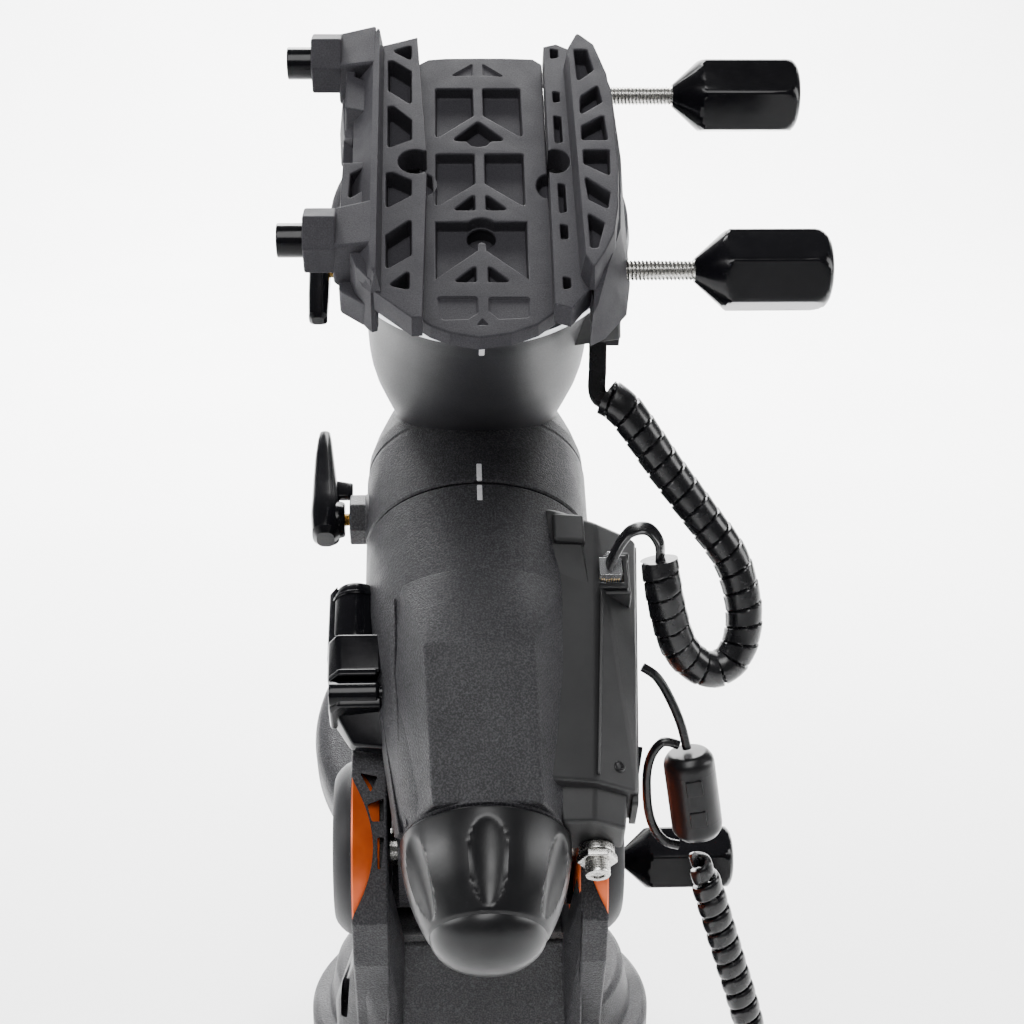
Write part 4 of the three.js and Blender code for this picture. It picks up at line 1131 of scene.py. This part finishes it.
def make_motor_cover():
    body = hull([(-60, -92, -20), (-63, -94, -12), (-63, -94, 8), (-56, -92, 14), (-40, -92, 14),
                 (-40, -92, -20), (-64, -146, -5.6), (-64, -146, 8), (-58, -146, 13), (-38, -146, 13),
                 (-38, -146, -5.6)], 2, 4)
    foot = hull([(-64, -144, -5), (-63, -144, 8), (-38, -144, 13), (-38, -144, -5), (-55, -160, -2),
                 (-54, -160, 4), (-40, -163, 6), (-40, -163, -1)], 1.6, 4)
    capsule = []
    for a, r in ((-86.4, 2), (-86.8, 6), (-88.4, 8.6), (-92, 9.8), (-112, 10.2), (-116, 9.6), (-117.4, 8),
                 (-118, 5)):
        capsule.append([(-53.5 + r * math.cos(TAU * k / 40), a,
                         9 + r * math.sin(TAU * k / 40)) for k in range(40)])
    side_wall = hull([(-65.2, -89, -14), (-65.2, -89, 10), (-61.5, -87, -16), (-61.5, -87, 14),
                      (-65.4, -124, -8), (-65.4, -124, 12), (-61.5, -124, -8), (-61.5, -124, 15)], 1, 3)
    slab_top = hull([(-65, -116, -8), (-65, -116, 14), (-61, -116, 20.6), (-42, -116, 20.6), (-42, -116, -8),
                     (-65, -134, -6), (-65, -134, 13), (-60, -134, 19.4), (-42, -134, 19.4),
                     (-42, -134, -6)], 1.6, 4)
    lip = hull([(-64.6, -133, 0), (-64.6, -133, 14), (-60, -133, 20), (-44, -133, 20), (-44, -133, 0),
                (-64.6, -136, 0), (-64.6, -136, 14), (-60, -136, 20), (-44, -136, 20), (-44, -136, 0)], 0.7)
    rod = along(lathe(edged([(0, -10), (5.4, -10), (5.4, 10), (4.6, 10.8), (3.6, 10.8), (3.6, 13), (0, 13)],
                            0.8), 40),
                (-54, -141.4, 13.6), X)
    slab_low = hull([(-64.4, -145, -5), (-64.4, -145, 11), (-60, -145, 16.4), (-42, -145, 16.4),
                     (-42, -145, -5), (-63.6, -148.4, -4), (-63.6, -148.4, 10), (-60, -148.4, 15),
                     (-42, -148.4, 15), (-42, -148.4, -4)], 1, 3)
    ring = along(pipe(8.8, 10.4, 0, 1.6, 0.4, 48), (-53.5, -93, 9), DOWN_A)
    piece("ra_motor_cover_shell",
          joined(body, foot, skin(capsule), side_wall, slab_top, lip, rod, slab_low, ring), GLOSS, "polar",
          ["ra_motor_cover"])


def make_electronics():
    lower = hull([(28, -66.5, 42), (50, -72, 37), (69.2, -66.5, 16.3), (69.2, -66.5, -8.7), (30, -66.5, -8.7),
                  (22, -190, 29), (44, -190, 25), (61.4, -190, 14.8), (61.4, -190, -8.7), (22, -190, -8.7)],
                 1.6, 4)
    tower = joined(
        hull([(31, -86, 20), (31, -70, 42.5), (31, -84, 42.5), (44.5, -70, 41), (44.5, -84, 41),
              (31, -70, 20), (44.5, -70, 20), (44.5, -86, 20)], 1.4, 4),
        hull([(30, -104, 20), (30, -84, 40), (43.5, -84, 39), (43.5, -84, 20), (46, -104, 34),
              (30, -104, 36.6), (46, -104, 20), (30, -84, 20)], 1, 4))
    ridge = hull([(50.2, -104, 35.2), (51.6, -104, 34), (44.4, -187, 26.6), (45.8, -187, 25.4),
                  (50.6, -104, 30), (45, -187, 22)], 0.5)
    trim = hull([(69.9, -68, 13), (69.9, -68, 12), (62.1, -189, 12), (62.1, -189, 11), (66, -68, 12.5),
                 (58, -189, 11.5)], 0.25)
    collar = joined(block(46.2, 48.2, -104.6, -84.4, 26, 33.2, 0.5),
                    block(61.8, 63.8, -104.6, -84.4, 17, 27.4, 0.5),
                    block(46.4, 63.6, -86.4, -84.4, 20, 32.4, 0.5),
                    block(46.4, 63.6, -104.6, -102.8, 20, 31, 0.5))
    boss = hull([(28, -186, 22), (44, -186, 21), (58, -186, 13), (30, -203, 16), (43, -203, 16),
                 (56, -203, 9), (58, -186, -8.6), (30, -186, -8.6), (56, -203, -8.6), (30, -203, -8.6)], 1.4,
                4)
    piece("electronics_box_shell", joined(lower, tower, ridge, trim, collar, boss), MATT, "polar",
          ["electronics_box"])
    screw = along(socket_head(2.6, -0.6, 0.4, 1.3), (54, -181, 20.4), (0.5, 0, 1), A)
    piece("electronics_box_screw", screw, SATIN_PLASTIC, "polar")


FACE_TURN = Matrix.Translation((65.4, -134, 2.5)) @ Matrix.Rotation(-0.0626, 4, "Z")
PORTS = [(40, 13), (22, 13), (3, 15), (-18, 13)]


def make_port_panel():
    """The panel on the box's outer face: x out of the face, y up the polar axis, z across it."""
    to_face = FACE_TURN @ SIDE
    holes = [(rounded(rect(y - w / 2 - 0.3, y + w / 2 + 0.3, -6.3, 6.3), 0.8, 3), None, []) for y, w in PORTS]
    holes.append((rounded(rect(-45.3, -30.7, -7.3, 7.3), 1, 3), None, []))
    plate = milled(rounded(rect(-59.7, 59.7, -9.7, 9.7), 2), -2.7, 0, holes, edge=0.35)
    piece("port_panel_plate", moved(plate, to_face), MATT, "polar", ["port_panel"])
    jacks, pins = [block(-9, -7, -26, 50, -6.5, 6.5, 0.3)], []
    for y, w in PORTS:
        box = milled(rounded(rect(y - w / 2, y + w / 2, -6, 6), 0.6, 3), -7.5, 0.4,
                     [(rounded(rect(y - w / 2 + 1.5, y + w / 2 - 1.5, -4, 4), 0.4, 2), 6, [])], edge=0.3)
        jacks.append(moved(box, SIDE))
        pins += [block(-5.6, -1.2, y - 3.3 + 1.1 * i, y - 2.9 + 1.1 * i, 3.1, 3.6, 0.1) for i in range(6)]
    piece("port_block_jacks", moved(joined(*jacks), FACE_TURN), SATIN_PLASTIC, "polar", ["port_block"])
    piece("port_contacts", moved(joined(*pins), FACE_TURN), BRASS, "polar")
    rocker = hull([(-7.8, -44.5, -6.5), (-7.8, -31.5, -6.5), (-7.8, -44.5, 6.5), (-7.8, -31.5, 6.5),
                   (0.5, -44.5, -6.5), (2.3, -31.5, -6.5), (0.5, -44.5, 6.5), (2.3, -31.5, 6.5),
                   (0.1, -38, -6.5), (0.1, -38, 6.5)], 0.7, 4)
    dots = [along(pipe(1.3, 1.9, 0, 0.15, 0.05, 32), (0.5, -41.6, 0), X),
            block(1.2, 1.75, -34.6, -34.2, -1.8, 1.8, 0.05)]
    piece("power_switch_rocker", moved(rocker, FACE_TURN), GLOSS, "power_switch", ["power_switch"])
    piece("power_switch_marks", moved(joined(*dots), FACE_TURN), MARK, "power_switch")


def make_sockets():
    jack = milled(rounded(rect(47.6, 62.4, -102.9, -86.1), 0.7, 3), 19.5, 33,
                  [(rounded(rect(49.5, 60.5, -100, -89), 0.5, 2), 9, [])], edge=0.4)
    piece("panel_dec_port_jack", jack, SATIN_PLASTIC, "polar", ["panel_dec_port"])
    body = joined(block(50.2, 59.8, -99, -90, 24.6, 37, 0.4),
                  hull([(53.2, -92, 34), (56.8, -92, 34), (53.6, -88.4, 38.6), (56.4, -88.4, 38.6),
                        (53.2, -92, 37), (56.8, -92, 37), (53.6, -87.6, 38), (56.4, -87.6, 38)], 0.2))
    piece("dec_plug_clear", body, CLEAR, "polar")
    pins = [block(51.1 + 1.02 * i, 51.6 + 1.02 * i, -98.8, -97.6, 27, 33, 0.08) for i in range(8)]
    piece("dec_plug_contacts", joined(*pins), BRASS, "polar")
    at = (45, 0, -6)
    thread = threaded(5.2, -215.4, -210, 1.1, 0.4, 32)
    lip = lathe([(3, -216), (4.9, -216), (5.1, -215.6), (5.1, -215), (3, -215)], 48)
    hexagon = six_corners(8.4)
    nut = milled(rounded(hexagon, 0.8, 3), -210.4, -207.1, edge=0.7)
    washer = lathe(edged([(0, -206.9), (7.4, -206.9), (7.4, -203.6), (5, -203.6), (5, -199), (0, -199)],
                         0.5), 48)
    core = lathe(rect(0, 1.1, -215.4, -209), 24)
    piece("power_socket_barrel", along(joined(thread, lip, nut, washer, core), at, A, X), STEEL, "polar",
          ["power_socket"])


def make_polar_cap():
    centre, half_turn, half_height = -225.5, math.radians(14), 16.5

    def scalloped(r, z, t):
        nearest = (t - TAU / 4 + TAU / 12) % (TAU / 6) - TAU / 12
        reach = 1 - (nearest / half_turn) ** 2 - ((z - centre) / half_height) ** 2
        return r - 3.4 * reach ** 0.8 if reach > 0 and r > 23.8 else r

    outer = [(31.8, -204.3), (34.2, -204.3), (34.6, -205)]
    for i in range(41):
        s = i / 40
        z = -205.5 - 37.5 * s
        outer.append((34.6 - 1.6 * s - 8.6 * s ** 2.2, z))
    outer += [(24, -243.4), (23.2, -244)]
    outer += [(23 * math.cos(u) ** 0.8, -244.2 - 12.6 * math.sin(u) ** 1.2)
              for u in (TAU / 4 * i / 12 for i in range(12))] + [(0, -256.8)]
    inner = [(0, -252.5), (12, -249.5), (20, -240), (25.4, -232), (28.8, -218), (31, -206)]
    profile = [(0, -256.8)] + list(reversed(outer[:-1])) + list(reversed(inner[1:])) + [(0, -252.5)]
    piece("polar_cap_shell", along(lathe(profile, 180, scalloped), (0, 0, 0), A, X), SATIN_PLASTIC,
          "polar_cap", ["polar_cap"], sharp=20)


make_ra_housing()
make_motor_cover()
make_electronics()
make_port_panel()
make_sockets()
make_polar_cap()


# ---------- base ----------
PIVOT = Vector(joint("altitude")["pos_m"]) / MM
PIVOT_AT = (PIVOT.y, PIVOT.z)


def ring_point(radius, degrees):
    turn = math.radians(degrees)
    return PIVOT_AT[0] + radius * math.cos(turn), PIVOT_AT[1] + radius * math.sin(turn)


FACET_AT, FACET_TURN = 44, math.radians(151)


def on_facet(x, down, depth):
    """A point on the arm's sloping front: across, down the slope from its middle, and below the surface."""
    out_y, out_z = math.cos(FACET_TURN), math.sin(FACET_TURN)
    return (x, PIVOT_AT[0] + (FACET_AT - depth) * out_y - down * out_z,
            PIVOT_AT[1] + (FACET_AT - depth) * out_z + down * out_y)


def facet_pocket(corners, depth):
    return hull([on_facet(x, down, d) for x, down in corners for d in (-3, depth)], 0.8)


def make_arm(side, inner, outer, top):
    back = [(50, 14), (60, 40), (60, 70), (36, 92)] + arc(*PIVOT_AT, 47, 5, 82, 10)
    front = [on_facet(0, 31, 0)[1:], (-84, 82), (-72, 58), (-64, 40), (-60, 14)]
    pockets = [pocket([(-54, 40), (-48, 58), (-62, 72), (-68, 62), (-60, 40)], 5, 2),
               pocket([(-42, 36), (-16, 36), (-16, 52), (-38, 56)], 5, 3),
               pocket([(-8, 36), (22, 36), (14, 58), (-8, 53)], 5, 3),
               pocket([(30, 36), (50, 42), (52, 66), (36, 80), (24, 66)], 5, 3)]
    plate = side_plate(rounded(back + top + front, 2), inner, outer, pockets=pockets, edge=1.1)
    cone = along(lathe([(0, outer - 11.5), (FACET_AT - 2.5, outer - 11.5), (FACET_AT + 12.4, outer + 4),
                        (0, outer + 4)], 128), (0, *PIVOT_AT), X)
    lattice = [facet_pocket([(outer - 11, -29), (outer - 3.6, -30.5), (outer - 8, -22.5)], 7),
               facet_pocket([(inner + 1.6, -20), (outer - 6.5, -17.5), (outer - 8.4, -10.5),
                             (inner + 1.6, -10.5)], 8),
               facet_pocket([(inner + 1.4, -4), (outer - 10.6, -4), (outer - 10.6, 9), (inner + 3, 9)], 6)]
    arm = carved(plate, cone, *lattice)
    flare = outer + 10 if side < 0 else outer + 6
    foot = hull([(inner, -58, 14), (flare, -44, 14), (flare, -50, 44), (inner, -66, 40), (flare - 2, -62, 52),
                 (inner, -74, 60), (outer + 1, -76, 76), (inner, -83, 84), (outer - 1, -82, 84),
                 (inner, -40, 14), (flare, -20, 14), (outer, -30, 66), (inner, -30, 66)], 1.6, 4)
    hollow = hull([(outer + 4.6, -90, 40), (flare - 2.6, -90, 40), (flare - 3.6, -90, 62),
                   (outer + 2.2, -90, 70), (outer + 4.6, -46, 40), (flare - 2.6, -46, 40),
                   (flare - 3.6, -52, 62), (outer + 2.2, -56, 70)], 1)
    cheek = hull([(34, -60, 20), (34, -64, 78), (inner + 2, -66, 20), (inner + 2, -72, 60),
                  (inner + 1, -82, 92), (inner, -82, 112), (34, -54, 20), (34, -57, 78), (inner, -62, 112),
                  (inner + 2, -54, 20)], 1.4, 4)
    whole = joined(arm, carved(foot, hollow), cheek)
    return whole if side > 0 else mirrored(whole)


def make_base():
    foot = lathe(edged([(0, 0), (77, 0), (79, 2), (79, 10.4), (77, 12.6), (70.4, 14.4), (69.6, 18),
                        (67.2, 31), (64.5, 33), (0, 33)], 1.1), 144)
    foot = carved(foot, block(-40, 40, 57.5, 90, 14, 40, 0), lathe(rect(0, 9, -1, 34), 48))
    left_top = [(-38, 163.5), (-45, 166), (-52, 163), on_facet(0, -31, 0)[1:]]
    right_top = arc(*PIVOT_AT, 47, 92, 130, 6)
    arms = [make_arm(-1, 40, 55, left_top), make_arm(1, 40, 51, right_top)]
    wall = hull([(-36, -65.6, 30), (36, -65.6, 30), (-36, -61.6, 78.4), (36, -61.6, 78.4), (-36, -54.4, 78.4),
                 (36, -54.4, 78.4), (-36, -50.4, 30), (36, -50.4, 30)], 1.4, 4)
    back = block(-43, 43, 47, 57.3, 20, 64, 1.6)
    pad = block(-36, 36, 56.6, 58.6, 40, 62, 0.8)
    piece("base_casting_body", joined(foot, *arms, wall, back, pad), CAST, "base", ["base_casting"], ROW)


def make_pivots():
    for side, hand, face in ((-1, "left", 55), (1, "right", 51)):
        out = (side, 0, 0)
        at = (0, *PIVOT_AT)
        cone = [(0, face - 11.4), (FACET_AT - 3, face - 11.4), (FACET_AT + 7.6, face - 0.8),
                (FACET_AT + 7.2, face - 0.2), (0, face - 0.2)]
        disc = [(0, face - 1), (27.8, face - 1), (28.2, face - 0.4), (28.2, face + 1.4), (26, face + 2.6),
                (13.6, face + 2.8), (13, face + 3.6), (12, face + 4), (0, face + 4)]
        piece(f"accent_disc_{hand}_plate", along(joined(lathe(cone, 128), lathe(disc, 96)), at, out), ORANGE,
              "base", [f"accent_disc_{hand}"], ROW)
        dome = [(28.5, face - 0.6), (43.6, face - 0.6), (44.2, face), (43.6, face + 0.6), (37.4, face + 0.8),
                (37, face + 2), (36, face + 4), (34, face + 6.2), (32, face + 7.8), (30.2, face + 8.6),
                (29.2, face + 8.2), (28.5, face + 7)]
        piece(f"pivot_cap_{hand}_ring", along(lathe(dome, 128), at, out), SATIN, "base",
              [f"pivot_cap_{hand}"], ROW)
        bolt = along(socket_head(5.5, face + 3.8, face + 6.6, 3), at, out, A)
        pins = [along(lathe(edged(rect(0, 1.6, face + 2, face + 3.4), 0.3), 24),
                      (0, *ring_point(20, 60 * i + 30)), out) for i in range(6)]
        piece(f"pivot_bolt_{hand}", joined(bolt, *pins), SATIN_PLASTIC, "base", matrix=ROW)


def fluted(radius, lobes, depth):
    def shape(r, z, t):
        return r - depth * (0.5 + 0.5 * math.cos(lobes * t)) ** 3 if r > radius * 0.88 else r
    return shape


def make_adjusters():
    z = joint("altitude_adjust_turn")["pos_m"][2] / MM
    screw = along(threaded(5.9, 38, 67, 1.5), (0, 0, z), A, X)
    knob = lathe(edged([(0, 66), (9, 66), (12.4, 69), (13, 71), (13, 92), (11, 95.4), (6, 96), (5, 95),
                        (0, 95)], 0.9),
                 96, fluted(13, 9, 1.5))
    piece("altitude_adjuster_grip", along(knob, (0, 0, z), A, X), GLOSS, "altitude_adjuster",
          ["altitude_adjuster"], ROW, flat_faces=False)
    piece("altitude_adjuster_thread", screw, STEEL, "altitude_adjuster", matrix=ROW, flat_faces=False)
    for hand in ("left", "right"):
        place = Vector(joint(f"azimuth_adjust_{hand}_turn")["pos_m"]) / MM
        at = (place.x, 0, place.z)
        knob = lathe(edged([(0, 64), (8, 64), (10.1, 66), (10.5, 68), (10.5, 84), (9, 86.6), (4.6, 87),
                            (4, 86), (0, 86)], 0.7), 80, fluted(10.5, 8, 1.2))
        piece(f"azimuth_adjuster_{hand}_grip", along(knob, at, A, X), GLOSS, f"azimuth_adjuster_{hand}",
              [f"azimuth_adjuster_{hand}"], ROW, flat_faces=False)
        piece(f"azimuth_adjuster_{hand}_thread", along(threaded(4, 53.6, 65, 1.25), at, A, X), STEEL,
              f"azimuth_adjuster_{hand}", matrix=ROW, flat_faces=False)


make_base()
make_pivots()
make_adjusters()


# ---------- counterweight and its bar ----------
def make_counterweight():
    bar = [(0, -345), (8.2, -345), (9, -344), (9, -70), (10.4, -68.6), (12, -67.6), (12, -52.6), (0, -52.6)]
    piece("counterweight_bar_rod", lathe(bar, 64), STEEL, "head", ["counterweight_bar"])
    ring = lathe(rounded(rect(12.3, 20, -64, -52.6), 1, 3), 96,
                 lambda r, z, t: r - 0.9 * (0.5 + 0.5 * math.cos(24 * t)) ** 2 if r > 18 else r)
    piece("bar_lock_ring_body", ring, SATIN, "head", ["bar_lock_ring"])
    low, high = -309, -264
    weight = [(9.4, low), (30, low), (31, low + 1.2), (34, low + 1.2), (35, low), (78, low), (84, low + 2),
              (88.6, low + 6), (90.4, low + 10), (91, low + 14), (91, high - 12), (90.2, high - 8),
              (88.4, high - 4.4), (84.8, high - 1.4), (80, high), (44, high), (43, high - 1.4),
              (38, high - 1.4), (37, high), (11, high), (9.4, high - 1)]
    piece("counterweight_body", lathe(weight, 160), CAST, "counterweight", ["counterweight"])
    middle = (0, 0, (low + high) / 2)
    knob = lathe(edged([(0, 92), (8, 92), (10.4, 94), (11, 96), (11, 107.6), (9, 110.6), (5, 111), (4.4, 110),
                        (0, 110)], 0.8), 80, fluted(11, 8, 1.3))
    piece("counterweight_lock_grip", along(knob, middle, A, X), GLOSS, "counterweight_lock",
          ["counterweight_lock_knob"], flat_faces=False)
    piece("counterweight_lock_thread", along(threaded(5, 10, 93, 1.5), middle, A, X), STEEL,
          "counterweight_lock", flat_faces=False)
    nut = lathe(edged([(0, -349.4), (17, -349.4), (21, -347), (22, -344.4), (22, -338), (20, -336.6),
                       (9.4, -336.6), (9.4, -345.6), (0, -345.6)], 0.9), 96, fluted(22, 12, 1.6))
    piece("safety_nut_body", nut, SATIN, "safety_nut", ["safety_nut"])


make_counterweight()

# ---------- CAD pieces that show as they are ----------
CARRIED = {
    STEEL: ["pivot_axle", "ra_worm", "ra_bearing_upper", "ra_bearing_lower", "ra_motor", "dec_bearing_upper",
            "dec_bearing_lower", "dec_worm", "dec_motor"],
    BRASS: ["ra_worm_wheel", "dec_worm_wheel"],
    ALUMINIUM: ["ra_shaft", "dec_shaft"],
    MATT: ["polar_finder_tube"],
    BOARD: ["circuit_board"],
}
for material, names in CARRIED.items():
    for name in names:
        node = frame["nodes"][name]
        for slot in node.material_slots:
            slot.material = material


# ---------- studio ----------
def add_light(name, at, aim, size, power, width=None, color=(1, 1, 1)):
    data = bpy.data.lights.new(name, "AREA")
    data.shape = "RECTANGLE"
    data.size = size
    data.size_y = width or size
    data.energy = power
    data.color = color
    light = bpy.data.objects.new(name, data)
    bpy.context.scene.collection.objects.link(light)
    light.matrix_world = pointing(Vector(at), Vector(at) - Vector(aim))
    return light


def make_studio():
    floor_z = cad_box[0][2] - 0.004
    mesh = bpy.data.meshes.new("floor")
    bend = [(-4, floor_z), (2.6, floor_z)] + [(2.6 + 0.9 * math.sin(t),
                                               floor_z + 0.9 * (1 - math.cos(t))) for t in
                                              (TAU / 4 * i / 12 for i in range(1, 13))] + [(3.5, 4.5)]
    points = [(x, y, z) for y, z in bend for x in (-5, 5)]
    mesh.from_pydata(points, [], [[2 * i, 2 * i + 1, 2 * i + 3, 2 * i + 2] for i in range(len(bend) - 1)])
    mesh.polygons.foreach_set("use_smooth", [True] * len(mesh.polygons))
    floor = bpy.data.objects.new("floor", mesh)
    bpy.context.scene.collection.objects.link(floor)
    paper = new_material("paper", (0.9, 0.9, 0.9), 0.9)
    spread(paper, noise(paper, 3), "Base Color", (0.88, 0.88, 0.88), (0.92, 0.92, 0.92))
    mesh.materials.append(paper)
    world = bpy.data.worlds.new("studio")
    bpy.context.scene.world = world
    world.use_nodes = True
    world.node_tree.nodes["Background"].inputs["Color"].default_value = (1, 1, 1, 1)
    world.node_tree.nodes["Background"].inputs["Strength"].default_value = 0.2
    target = (0, 0.03, 0.2)
    add_light("top_softbox", (-0.1, -0.9, 1.5), target, 1.1, 21, 0.7)
    add_light("left_softbox", (-1.5, -0.25, 0.7), target, 0.4, 15, 1.2)
    add_light("right_softbox", (1.5, -0.1, 0.6), target, 0.4, 12, 1.2)
    add_light("rear_strip", (-0.5, 1.3, 1.5), target, 0.9, 16, 0.4)
    add_light("back_light", (0, 1.9, 2.3), (0, 3.4, 0.2), 2.6, 560)
    add_light("floor_light", (0, 2.2, 2.4), (0, 2.2, 0), 1.6, 60)

make_studio()
